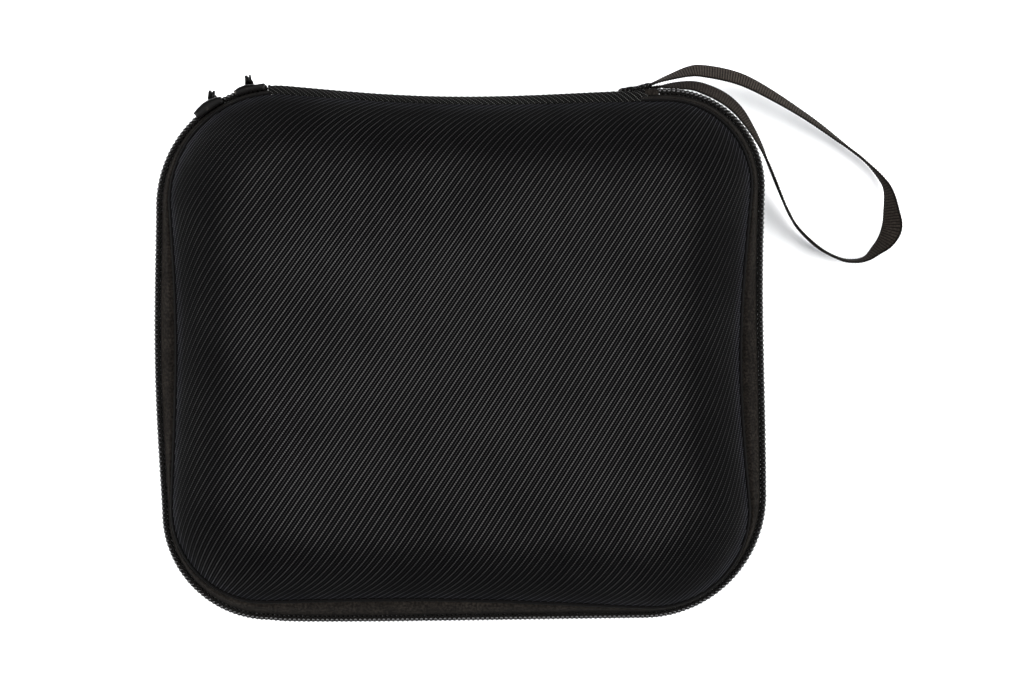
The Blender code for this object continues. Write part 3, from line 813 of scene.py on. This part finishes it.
def zip_tape(half, look):
    """The tape from the coil out over the rim, thick enough to have two faces and soft edges."""
    # Share towards the rim, coil inset, rim inset and depth, round the outside and back inside
    outer = [(0, 2.05, 0, 0.55), (0, 2.35, 0, 1.6), (0, 2.7, 0, 2.8), (0.1, 2.85, -0.6, 3.8)]
    outer += [(0.36, 2.8, -0.9, 4.9), (0.62, 2.5, -1.1, 5.75), (0.8, 1.9, -0.95, 5.95)]
    outer += [(0.92, 1.2, -0.35, 5.5), (1, 0, 0.5, 5.45)]
    inner = [(1, 0, 1.2, 5.2), (0.9, 2.9, 0.9, 4.9), (0.6, 3.4, 0.6, 4.6), (0.3, 3.5, 0.4, 4.0)]
    inner += [(0.08, 3.5, 0.4, 3.2), (0, 3.4, 0, 1.6), (0, 2.95, 0, 0.55)]
    rows = [(q, coil, rim, half.side, depth) for q, coil, rim, depth in outer + inner]
    at = spaced(zip_line(COIL, 0), 2.0)
    stations = between_outlines(zip_line, rows, at)
    wave = 0.12 * np.sin(travelled(stations[:, 0])[:, None] / 9.0 + np.arange(len(rows)) * 0.3)
    stations[:, :, 2] += wave * np.sin(np.linspace(0, np.pi, len(rows)))
    fold = folded_end(half)
    points, faces = merged([(stations.reshape(-1, 3), capped_faces(*stations.shape[:2])), fold])
    cloth = np.vstack([band_cloth(stations), fold[0][:, [0, 2]]])
    name = f"{half.body}_zip_tape_cloth"
    nodes = [f"{half.body}_zip_tape"]
    add_piece(name, points, faces, look, half.body, "zip_tape", nodes, cloth)


def tape_stitches(half, look):
    line = raised(pick(zip_line(RIM, -1.2), spaced(zip_line(RIM, 0), 1.5)), half.side, 5.95)
    plan_out = outward_of(line[:, :2], False)
    out = np.column_stack([plan_out * 0.5, np.full(len(line), half.side * 0.85)])
    name = f"{half.body}_tape_stitches"
    stitch_row(name, line, out, look, half.body, 2.3, 0.15, "zip_tape")


def rim_seam_shadow(half, look):
    """A painted shadow: a dark tube laid in the seam between the shell's edge and the tape, standing for
    the shade in that gap.
    """
    line = raised(pick(zip_line(RIM, -0.35), spaced(zip_line(RIM, 0), 2.0)), half.side, 6.5)
    points, faces = tube(line, (0, 0, 1), 0.5, 8, 1.2)
    add_piece(f"{half.body}_rim_seam", points, faces, look, half.body, "zip_tape", sharp=180)


def zip_coil(half, look):
    """One continuous nylon spiral; the two halves' turns sit half a pitch apart."""
    per_turn = 14
    line = coil_line(0)
    length = travelled(line)
    turns = int(length[-1] / TEETH_PITCH) - 1
    turn = np.arange(turns * per_turn + 1) / per_turn
    share = turn % 1.0
    # The wire crosses to its next turn on the inner side, so the outer legs stand square
    crossed = np.clip((share - 0.06) / 0.38, 0, 1)
    along = (turn - share + crossed**2 * (3 - 2 * crossed)) * TEETH_PITCH
    at = np.interp(along + (0.9 if half.side > 0 else 0.0), length, np.arange(len(line)))
    plan = pick(line, at)
    normal = unit(pick(outward_of(line, False), at))
    tangent = np.column_stack([-normal[:, 1], normal[:, 0], np.zeros(len(at))])
    around = 2 * np.pi * share
    inset = COIL_MIDDLE_INSET + COIL_HALF_WIDTH * np.sin(around)
    depth = COIL_MIDDLE_DEPTH - COIL_HALF_HEIGHT * np.cos(around)
    centre = raised(plan - normal * inset[:, None], half.side, depth)
    # The outer leg of each turn is pressed broad where it meshes
    wire = 0.46 + (0.20 - 0.12 * np.cos(around)) * (share > 0.5)
    points, faces = tube(centre, tangent, wire, 8, 0.66)
    name = f"{half.body}_zip_coil_spiral"
    nodes = [f"{half.body}_zip_coil"]
    add_piece(name, points, faces, look, half.body, "zip_coil", nodes, sharp=70)


def coil_cord(half, look):
    """The filler cord inside the coil, and the zigzag that ties the coil to the tape's edge."""
    line = pick(coil_line(1.35), spaced(coil_line(0), TEETH_PITCH / 2))
    row = np.arange(len(line)) % 2
    centre = raised(line, half.side, 3.3 - 0.2 * row)
    centre[:, :2] -= outward_of(line, False) * (row * 0.9)[:, None]
    zigzag = tube(centre, (0, 0, 1), 0.2, 5)
    middle = raised(pick(coil_line(0.72), spaced(coil_line(0), 2.4)), half.side, 1.65)
    core = tube(middle, (0, 0, 1), 1.15, 10, 0.62)
    points, faces = merged([zigzag, core])
    name = f"{half.body}_coil_sewing"
    add_piece(name, points, faces, look, half.body, "zip_tape", sharp=180)


def seam_binding(half, look):
    """Bias tape folded over the wall's raw edge inside."""
    first, last = 1.5, WALL * SLANT + GAP + LINING + 0.2
    sides = 14
    cosine, sine = squared_circle(sides, 0.6)
    inset = (first + last) / 2 + (last - first) / 2 * cosine
    depth = RIM_DEPTH - 0.7 + 0.75 * sine
    lines = [raised(ring(RIM, i), half.side, d) for i, d in zip(inset, depth)]
    points = np.stack(lines, axis=1)
    length = travelled(points[:, 0])[:, None] * np.ones(sides)
    across = np.arange(sides) * 0.8 * np.ones((len(points), 1))
    faces = grid_faces(len(points), sides, wrap_rows=True, wrap_columns=True)
    cloth = np.column_stack([length.ravel(), across.ravel()])
    nodes = [f"{half.body}_seam_binding"]
    name = f"{half.body}_bias_binding"
    add_piece(name, points.reshape(-1, 3), faces, look, half.body, "binding", nodes, cloth)


# Hinge


def hinge_cloth(look):
    """One ribbed strip from the base's rim round the back to the lid's rim."""
    # Share towards the rim, coil inset, rim inset and depth, from the rim to the parting plane
    rows = []
    for side, order in ((-1, 1), (1, -1)):
        half_rows = [(1, 0, -0.1, 6.75), (0.85, 0.6, -0.8, 5.9), (0.5, 0.9, -1.4, 4.5)]
        half_rows += [(0.2, 0.6, -1.0, 3.2), (0.05, 0.35, 0, 2.1), (0, 0.25, 0, 0.9)]
        rows += [(q, coil, rim, side, d) for q, coil, rim, d in half_rows][::order]
    at = spaced(strip_line(COIL, 0), 1.6)
    outside = between_outlines(strip_line, rows, at)
    length, count = outside.shape[:2]
    along = travelled(outside[:, count // 2])[:, None] * np.ones(count)
    across = travelled(outside[length // 2])[None, :] * np.ones((length, 1))
    gather = np.exp(-along / 5.0)
    outside[:, :, 1] += gather * 0.45 * np.sin(across * 1.5 + along * 0.6)
    lean = math.radians(50)
    ribs = (along * math.sin(lean) + across * math.cos(lean)) / HINGE_RIB_PITCH
    down_ribs = across * math.sin(lean) - along * math.cos(lean)
    flat = np.column_stack([ribs.ravel(), down_ribs.ravel()])
    points, faces = outside.reshape(-1, 3), grid_faces(length, count)
    nodes = ["base_hinge_strip", "lid_hinge_strip"]
    name = "hinge_ribbed_strip"
    strip = ribbed_piece(name, points, flat, faces, look, None, slot="hinge_fabric", nodes=nodes)
    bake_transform(strip)


def anchor_fold(look):
    """The strip's gathered end, folded over and sewn round the strap."""
    pleats = []
    # Each lobe: its middle, half its length, depth and height, and its turn in radians
    specs = [(66.6, 103.2, 34.6, 5.0, 1.3, 3.6, 0.10), (69.4, 103.6, 33.9, 4.2, 1.3, 3.4, 0.30)]
    specs += [(71.5, 104.3, 33.0, 3.4, 1.1, 2.8, 0.42), (72.9, 104.6, 31.4, 2.4, 1.0, 2.2, 0.25)]
    for x, y, z, half_length, half_depth, half_height, yaw in specs:
        u = np.linspace(0, np.pi, 15)[:, None]
        v = np.linspace(0, 2 * np.pi, 20, endpoint=False)[None, :]
        ripple = 1 + 0.12 * np.sin(5 * v + 3 * u) + 0.07 * np.sin(9 * u + 2 * v)
        a = half_length * -np.cos(u) * np.ones_like(v)
        b = half_depth * np.sin(u) ** 0.7 * np.cos(v) * ripple
        c = half_height * np.sin(u) ** 0.7 * np.sin(v) * ripple
        px = x + a * math.cos(yaw) - b * math.sin(yaw)
        py = y + a * math.sin(yaw) + b * math.cos(yaw)
        points = np.stack([px, py, z + c], axis=-1).reshape(-1, 3)
        pleats.append((points, grid_faces(15, 20, wrap_columns=True)))
    points, faces = merged(pleats)
    ribs = (points[:, 0] * 0.75 - points[:, 2] * 0.65) / 1.9
    cloth = np.column_stack([ribs, points[:, 2]])
    nodes = ["strap_anchor_fold"]
    add_piece("strap_anchor_gather", points, faces, look, "base", "hinge_fabric", nodes, cloth)


# Foam


def rounded_rectangle(x, y, half_x, half_y, radius, steps=6):
    corners = [(1, 1, 0), (-1, 1, 90), (-1, -1, 180), (1, -1, 270)]
    points = []
    for sign_x, sign_y, start in corners:
        for i in range(steps + 1):
            angle = math.radians(start + 90 * i / steps)
            points.append(
                (
                    x + sign_x * (half_x - radius) + radius * math.cos(angle),
                    y + sign_y * (half_y - radius) + radius * math.sin(angle),
                )
            )
    return np.array(points)


def slot_centres():
    for row in (-0.5, 0.5):
        for column in (-1.5, -0.5, 0.5, 1.5):
            yield column * SLOT_PITCH[0], row * SLOT_PITCH[1]


def foam_tray(look):
    """The die-cut tray: soft-edged openings right through, and soft outer edges."""
    top, bottom = TRAY_TOP, TRAY_BOTTOM
    profile = wall_point(FOAM_SKIN, HALVES[0].deepest, np.linspace(0, 1, 60))
    keep = profile[profile[:, 1] < bottom - 1.0][::4]
    edge = FOAM_SKIN * SLANT
    lips = [(edge + 1.5, top), (edge + 0.5, top + 0.3), (edge, top + 1.2)]
    last = profile[profile[:, 1] < bottom][-1]
    ends = [(last[0] + 0.2, bottom - 0.3), (last[0] + 1.0, bottom)]
    outer = [raised(ring(RIM, i), -1, d) for i, d in [*lips, *keep.tolist(), *ends]]
    shape = bmesh.new()

    def loops_of(rings):
        made = [[shape.verts.new(Vector(p) * MM) for p in one] for one in rings]
        for first, second in zip(made, made[1:]):
            for j in range(len(first)):
                k = (j + 1) % len(first)
                shape.faces.new((first[j], first[k], second[k], second[j]))
        return made[0], made[-1]

    outlines = [outer]
    softened = [(0.9, top), (0.35, top + 0.12), (0.08, top + 0.5), (0, top + 1.2), (0, bottom)]
    for x, y in slot_centres():
        rings = []
        for grow, depth in softened:
            half_x, half_y = SLOT_HALF_SIZE[0] + grow, SLOT_HALF_SIZE[1] + grow
            plan = rounded_rectangle(x, y, half_x, half_y, SLOT_RADIUS + grow)
            rings.append(raised(plan, -1, depth))
        outlines.append(rings)
    tops, bottoms = zip(*[loops_of(rings) for rings in outlines])
    for loops in (tops, bottoms):
        edges = []
        for loop in loops:
            for j in range(len(loop)):
                pair = (loop[j], loop[(j + 1) % len(loop)])
                edges.append(shape.edges.get(pair) or shape.edges.new(pair))
        bmesh.ops.triangle_fill(shape, use_beauty=True, edges=edges)
    points = np.array([v.co for v in shape.verts]) / MM
    shape.verts.index_update()
    faces = [[v.index for v in face.verts] for face in shape.faces]
    shape.free()
    piece = add_piece("foam_cut_tray", points, faces, look, "base", "foam", ["foam_tray"])


def base_pad(look):
    deepest = HALVES[0].deepest
    profile = wall_point(FOAM_SKIN, deepest, np.linspace(0, 1, 60))
    keep = profile[profile[:, 1] > BASE_PAD_TOP + 1.2][::3]
    edge = keep[0][0]
    top = [(edge + 1.2, BASE_PAD_TOP + 0.02), (edge + 0.3, BASE_PAD_TOP + 0.3)]
    rings = [raised(ring(RIM, ROUNDING) * s, -1, BASE_PAD_TOP) for s in (0.25, 0.5, 0.8)]
    rings += [raised(ring(RIM, i), -1, d) for i, d in [*top, *keep.tolist()]]
    rings += [raised(ring(RIM, ROUNDING) * s, -1, deepest - FOAM_SKIN) for s in (0.8, 0.5, 0.2)]
    points, faces = closed_pad(rings, -1, BASE_PAD_TOP, deepest - FOAM_SKIN)
    piece = add_piece("base_foam_floor", points, faces, look, "base", "foam", ["base_foam_pad"])


def lid_pad(look):
    """A convoluted pad: rounded knobs and hollows on the face that holds the figures down."""
    half = HALVES[1]
    edge = FOAM_SKIN * SLANT
    rings = []
    for share in np.linspace(0.03, 0.965, 44):
        plan = ring(RIM, edge + 1.4) * share
        fade = np.clip((1 - share) / 0.10, 0, 1)
        wave_x, wave_y = np.cos(plan * 2 * np.pi / KNOB_PITCH).T
        hollow = 0.5 - 0.5 * wave_x * wave_y
        rings.append(raised(plan, 1, LID_PAD_FACE + 0.3 + KNOB_HEIGHT * hollow * fade))
    for inset, depth in [(1.4, 0.3), (0.6, 0.5), (0.0, 1.3)]:
        rings.append(raised(ring(RIM, edge + inset), 1, LID_PAD_FACE + depth))
    profile = wall_point(FOAM_SKIN, half.deepest, np.linspace(0, 1, 20))
    rings += [raised(ring(RIM, i), 1, d) for i, d in profile.tolist()]
    for share in (0.8, 0.5, 0.2):
        depth = half.deepest - FOAM_SKIN + half.crown * (1 - share**2)
        rings.append(raised(ring(RIM, ROUNDING) * share, 1, depth))
    back = half.deepest + half.crown - FOAM_SKIN
    points, faces = closed_pad(rings, 1, LID_PAD_FACE + 0.3, back)
    piece = add_piece("lid_convoluted_foam", points, faces, look, "lid", "foam", ["lid_foam_pad"])


# Zip hardware


def around_corner(angle, inset, z):
    """Points near the left-hand hinge corner, by angle in degrees, inset and height."""
    turn = np.radians(angle)
    radius = SLIDER_CORNER.radius - np.asarray(inset)
    x = SLIDER_CORNER.x + radius * np.cos(turn)
    y = SLIDER_CORNER.y + radius * np.sin(turn)
    return np.stack(np.broadcast_arrays(x, y, z), axis=-1)


def pull_frame(angle):
    """The middle of a slider's bar, and its directions along the zip and outward."""
    turn = math.radians(angle)
    out = np.array([math.cos(turn), math.sin(turn), 0])
    tangent = np.array([-math.sin(turn), math.cos(turn), 0])
    origin = around_corner(angle, -PULL_BAR_OUT, PARTING_Z - PULL_BAR_DEPTH)
    return origin, tangent, out


def rounded_plate(angle, half_span, z_middle, half_height, inset_out, inset_in):
    """A shield-shaped plate wrapped round the corner, with a soft edge."""
    sides = 40
    shape_a, shape_z = squared_circle(sides, 0.45)
    thick = inset_in - inset_out
    # Each loop's share of the plate's size and of its thickness
    profile = [(0.3, 0), (0.8, 0.02), (0.94, 0.12), (1, 0.35), (1, 0.8), (0.96, 1.0), (0.3, 1.0)]
    loops = []
    for scale, inset in profile:
        a = angle + shape_a * half_span * scale
        z = z_middle + shape_z * half_height * scale
        loops.append(around_corner(a, inset_out + thick * inset, z))
    return np.vstack(loops), capped_faces(len(loops), sides)


def bent_section(angles, section):
    """A closed section of (inset, z) swept round the corner, with softened ends."""
    stations = []
    middle = np.mean(section, axis=0)
    for angle, scale in angles:
        shrunk = middle + (np.asarray(section) - middle) * scale
        stations.append(around_corner(angle, shrunk[:, 0], shrunk[:, 1]))
    return np.vstack(stations), capped_faces(len(stations), len(section))


def rounded_bar(inset, z, half_inset, half_z):
    """Section of a bar with rounded corners."""
    a, b = squared_circle(20, 0.5)
    return np.column_stack([inset + half_inset * a, z + half_z * b])


def slider_channel(spec):
    """The slider's body, open towards the case and rounded outside."""
    half_span, steps = 7.3, 26
    channel, inner_face = 3.95, -0.42
    share = np.linspace(-1, 1, steps)
    bulge = np.interp(share, np.linspace(-1, 1, len(spec.bulge)), spec.bulge)
    bulge = np.maximum(bulge, SLIDER_LEAST_BULGE)
    end_softness = np.sqrt(np.clip(1 - np.abs(share) ** 14, 0, 1)) * 0.35 + 0.65
    stations = []
    for s, out, soft in zip(share, bulge, end_softness):
        wall = 1.35 * soft - 0.35
        crown = 0.35 * out * soft
        high, low = PARTING_Z + channel + wall, PARTING_Z - channel - wall
        lip = 1.9
        # (inset, z) from the upper lip round the outside to the lower lip, then the channel
        section = [(lip, PARTING_Z + channel), (lip, high - 0.2), (lip - 0.25, high), (0.3, high)]
        section += [(-0.55 * out, high - 0.12), (-0.85 * out, high - 0.55), (-out, high - 1.5)]
        section += [(-out - crown * 0.3, PARTING_Z + 1.5), (-out - crown * 0.3, PARTING_Z - 1.5)]
        section += [(-out, low + 1.5), (-0.85 * out, low + 0.55), (-0.55 * out, low + 0.12)]
        section += [(0.3, low), (lip - 0.25, low), (lip, low + 0.2), (lip, PARTING_Z - channel)]
        section += [(inner_face, PARTING_Z - channel), (inner_face, PARTING_Z + channel)]
        inset, z = np.array(section).T
        stations.append(around_corner(spec.angle + s * half_span, inset, z))
    return np.vstack(stations), capped_faces(steps, len(stations[0]))


def bail(spec):
    """The low wire bridge that the pull hangs from."""
    origin, tangent, out = pull_frame(spec.pull_angle)
    bend = [(-1.4, -2.6), (-1.4, -1.2), (-1.34, -0.5), (-1.1, -0.12), (-0.55, 0.0), (0, 0.0)]
    bend += [(-t, r) for t, r in bend[-2::-1]]
    centre = np.array([origin + tangent * t + out * r for t, r in bend])
    return tube(centre, (0, 0, 1), 0.34, 10)


def slider(spec, look):
    """The channel that grips both coils, the plate and foot inside it, and the bail."""
    plate_span = 6.0
    plate = rounded_plate(spec.angle, plate_span, 34.4, 1.7, 3.7, 4.4)
    ends = [(-1, 0.7), (-0.9, 1), (0.9, 1), (1, 0.7)]
    foot_ends = [(spec.angle + plate_span * share, scale) for share, scale in ends]
    foot = bent_section(foot_ends, rounded_bar(2.9, 31.4, 1.5, 0.4))
    points, faces = merged([slider_channel(spec), plate, foot, bail(spec)])
    nodes = [f"{spec.name}_zip_slider"]
    name = f"{spec.name}_slider_body"
    add_piece(name, points, faces, look, f"{spec.name}_slider", "slider_metal", nodes, sharp=50)


def plate_loops(outline, thick, edge):
    """A flat plate from its outline, in its own plane, with rounded edges."""
    normal = outward_of(outline, True)
    loops = []
    for pull_in, at in [(1.5, 1), (0.5, 0.96), (0, 0.5), (0, -0.5), (0.5, -0.96), (1.5, -1)]:
        plan = outline - normal * pull_in * edge
        loops.append(np.column_stack([plan, np.full(len(plan), at * thick / 2)]))
    return np.vstack(loops), capped_faces(len(loops), len(outline))


def capsule(half_width, start, end, steps=10):
    """Outline of a bar with round ends, from start to end along its second axis."""
    angles = np.linspace(0, math.pi, steps + 1)
    far = np.column_stack([np.cos(angles), np.sin(angles)]) * half_width
    return np.vstack([far + (0, end - half_width), -far + (0, start + half_width)])


def pull_tab(spec, look):
    """A forked head that grips the slider's bar, and a tab that hangs from it."""
    origin, tangent, out = pull_frame(spec.pull_angle)
    yaw = math.radians(spec.turn)
    across = out * math.cos(yaw) + np.cross((0, 0, 1), out) * math.sin(yaw)
    through = tangent * math.cos(yaw) + np.cross((0, 0, 1), tangent) * math.sin(yaw)
    half = PULL_WIDTH / 2 - 0.15
    flat, faces = plate_loops(capsule(half, 4.4, PULL_LENGTH), 0.9, 0.3)
    raised_rim, rim_faces = plate_loops(capsule(half - 0.55, 6.0, PULL_LENGTH - 0.8), 1.3, 0.25)
    parts = [(flat, faces), (raised_rim, rim_faces)]
    arm_half_width, arm_start = 1.9, -1.3
    for sign in (-1, 1):
        arm, arm_faces = plate_loops(capsule(arm_half_width, arm_start, 7.0), 0.9, 0.2)
        spread = np.interp(arm[:, 1], (arm_start, 2.4, 6.0), (0.76, 0.76, 0.4))
        splay = 0.10 * (1 - arm[:, 0] / arm_half_width) * (arm[:, 1] < 3)
        arm[:, 0] += np.interp(arm[:, 1], (arm_start, 1.5, 5.0), (0.55, 0.5, 0.0))
        arm[:, 2] += sign * (spread + splay)
        parts.append((arm, arm_faces))
    points, faces = merged(parts)
    world = origin + points @ np.array([across, (0, 0, -1), through])
    name, body = f"{spec.name}_pull_forked", f"{spec.name}_pull"
    add_piece(name, world, faces, look, body, "slider_metal", [f"{spec.name}_pull_tab"])


def zip_stops(look):
    """A folded metal stop at each end of the coil."""
    section = rounded_bar(1.6, PARTING_Z - 2.1, 1.85, 1.5)
    left_ends = [(94.2, 0.85), (94.4, 1), (95.2, 1), (95.4, 0.85)]
    points, faces = bent_section(left_ends, section)
    add_piece("zip_end_stop_left", points, faces, look, "base", "slider_metal", ["zip_stop_left"])
    section = rounded_bar(1.4, PARTING_Z - 2.1, 2.0, 1.45)
    points, faces = hinge_side_bar(section, ((76.1, 0.85), (75.9, 1), (75.1, 1), (74.9, 0.85)))
    add_piece("zip_end_stop_right", points, faces, look, "base", "slider_metal", ["zip_stop_right"])


# Strap


def smooth_route(points, steps):
    """Points along a Catmull-Rom curve through the given ones."""
    points = np.array(points, float)
    last = len(points) - 1
    t = (np.arange(steps) / steps)[:, None]
    found = []
    for i in range(last):
        a, b, c, d = (points[min(max(j, 0), last)] for j in (i - 1, i, i + 1, i + 2))
        bend, twist = 2 * a - 5 * b + 4 * c - d, 3 * b - a - 3 * c + d
        found.append((2 * b + (c - a) * t + bend * t**2 + twist * t**3) / 2)
    return np.vstack(found + [points[-1:]])


def wrist_strap(look):
    """Flat ribbed webbing along the route, turned about its centre line by the lean."""
    per_rib = 4
    route = smooth_route(STRAP_ROUTE, 12)
    length = travelled(route[:, :3])
    places = np.arange(0, length[-1], STRAP_RIB / per_rib)
    route = pick(route, np.interp(places, length, np.arange(len(route))))
    centre, lean = route[:, :3], np.radians(route[:, 3])[:, None]
    ahead = np.gradient(centre, axis=0)
    ahead[:, 2] = 0
    ahead = unit(ahead)
    inward = np.column_stack([ahead[:, 1], -ahead[:, 0], np.zeros(len(ahead))])
    across = inward * np.cos(lean) + np.array([0, 0, 1]) * np.sin(lean)
    through = np.cross(ahead, across)
    along = travelled(centre)
    wave = np.cos(2 * np.pi * along / STRAP_RIB)
    half_width, half_thick = STRAP_WIDTH / 2, STRAP_THICK / 2
    section = []
    for face in (1, -1):
        for share in np.linspace(1, -1, 9) * face:
            section.append((share * half_width, face))
    lines, flats = [], []
    for a, face in section:
        on_edge = abs(a) > 0.9 * half_width
        thinning = 1 - (abs(a) / half_width) ** 6 * 0.75
        thick = half_thick * thinning + 0.09 * wave * (not on_edge)
        scallop = math.copysign(0.07, a) * np.sin(2 * np.pi * along / STRAP_RIB) * on_edge
        lines.append(centre + across * (a + scallop)[:, None] + through * (face * thick)[:, None])
        flats.append(np.column_stack([along, np.full(len(along), a)]))
    points = np.stack(lines, axis=1).reshape(-1, 3)
    faces = capped_faces(len(along), len(section))
    cloth = np.stack(flats, axis=1).reshape(-1, 2)
    name, nodes = "wrist_strap_webbing", ["wrist_strap"]
    piece = add_piece(name, points, faces, look, "base", "webbing", nodes, cloth, sharp=60)
    path = centre[:: 2 * per_rib]
    if not np.allclose(path[-1], centre[-1]):
        path = np.vstack([path, centre[-1:]])


# Stage


def area_light(name, place, aim, size, power, colour=(1, 1, 1)):
    data = bpy.data.lights.new(name, "AREA")
    data.shape = "RECTANGLE"
    data.size, data.size_y = size
    data.energy = power
    data.color = colour
    lamp = bpy.data.objects.new(name, data)
    lamp.location = place
    lamp.rotation_euler = (Vector(aim) - Vector(place)).to_track_quat("-Z", "Y").to_euler()
    bpy.context.scene.collection.objects.link(lamp)


def set_stage():
    scene = bpy.context.scene
    camera = bpy.data.cameras.new("camera")
    camera.lens = 100
    camera.sensor_width = 36
    camera.clip_end = 20
    eye = bpy.data.objects.new("camera", camera)
    eye.location = CAMERA
    scene.collection.objects.link(eye)
    scene.camera = eye
    world = bpy.data.worlds.new("studio")
    world.use_nodes = True
    background = world.node_tree.nodes["Background"]
    background.inputs["Color"].default_value = (0.84, 0.91, 1.0, 1)
    background.inputs["Strength"].default_value = 0.3
    scene.world = world
    scene.view_settings.view_transform = "Standard"
    area_light("soft_left", (-1.2, 0.0, 0.95), (0, 0, 0), (1.1, 1.5), 50)
    area_light("soft_right", (1.2, 0.0, 0.95), (0, 0, 0), (1.1, 1.5), 48)
    area_light("soft_top", (0.0, 0.4, 1.65), (0, 0, 0), (1.0, 0.8), 12)
    mesh = bpy.data.meshes.new("studio_floor")
    reach = 3.0
    corners = [(x * reach, y * reach, 0) for x, y in ((-1, -1), (1, -1), (1, 1), (-1, 1))]
    mesh.from_pydata(corners, [], [(0, 1, 2, 3)])
    mesh.materials.append(plain_floor("pale_floor"))
    floor = bpy.data.objects.new("studio_floor", mesh)
    floor.location.z = -0.0001
    scene.collection.objects.link(floor)


# Build


def main():
    set_stage()
    wrist_strap(webbing_cloth("strap_webbing"))
    shell = ribbed_cloth("shell_ribbed_cloth", *SHELL_COLOURS)
    hinge = ribbed_cloth("hinge_ribbed_cloth", *HINGE_COLOURS)
    tape = tape_cloth("zip_tape_weave", *TAPE_COLOURS)
    binding = tape_cloth("binding_weave", *BINDING_COLOURS, 0.9)
    coil = nylon("coil_nylon")
    sewing = thread("sewing_thread", *SEWING_COLOURS)
    seam = thread("seam_shadow_tube", *SEAM_SHADOW_COLOURS)
    metal = enamelled_metal("slider_enamel")
    soft = foam("dark_foam", *FOAM_COLOURS)
    pile = velour("velour_lining")
    for half in HALVES:
        cover(half, shell)
        lining(half, pile)
        zip_tape(half, tape)
        tape_stitches(half, sewing)
        rim_seam_shadow(half, seam)
        zip_coil(half, coil)
        coil_cord(half, sewing)
        seam_binding(half, binding)
    hinge_cloth(hinge)
    anchor_fold(hinge)
    foam_tray(soft)
    base_pad(soft)
    lid_pad(soft)
    for spec in (LEFT_PULL, TOP_PULL):
        slider(spec, metal)
        pull_tab(spec, metal)
    zip_stops(metal)


main()
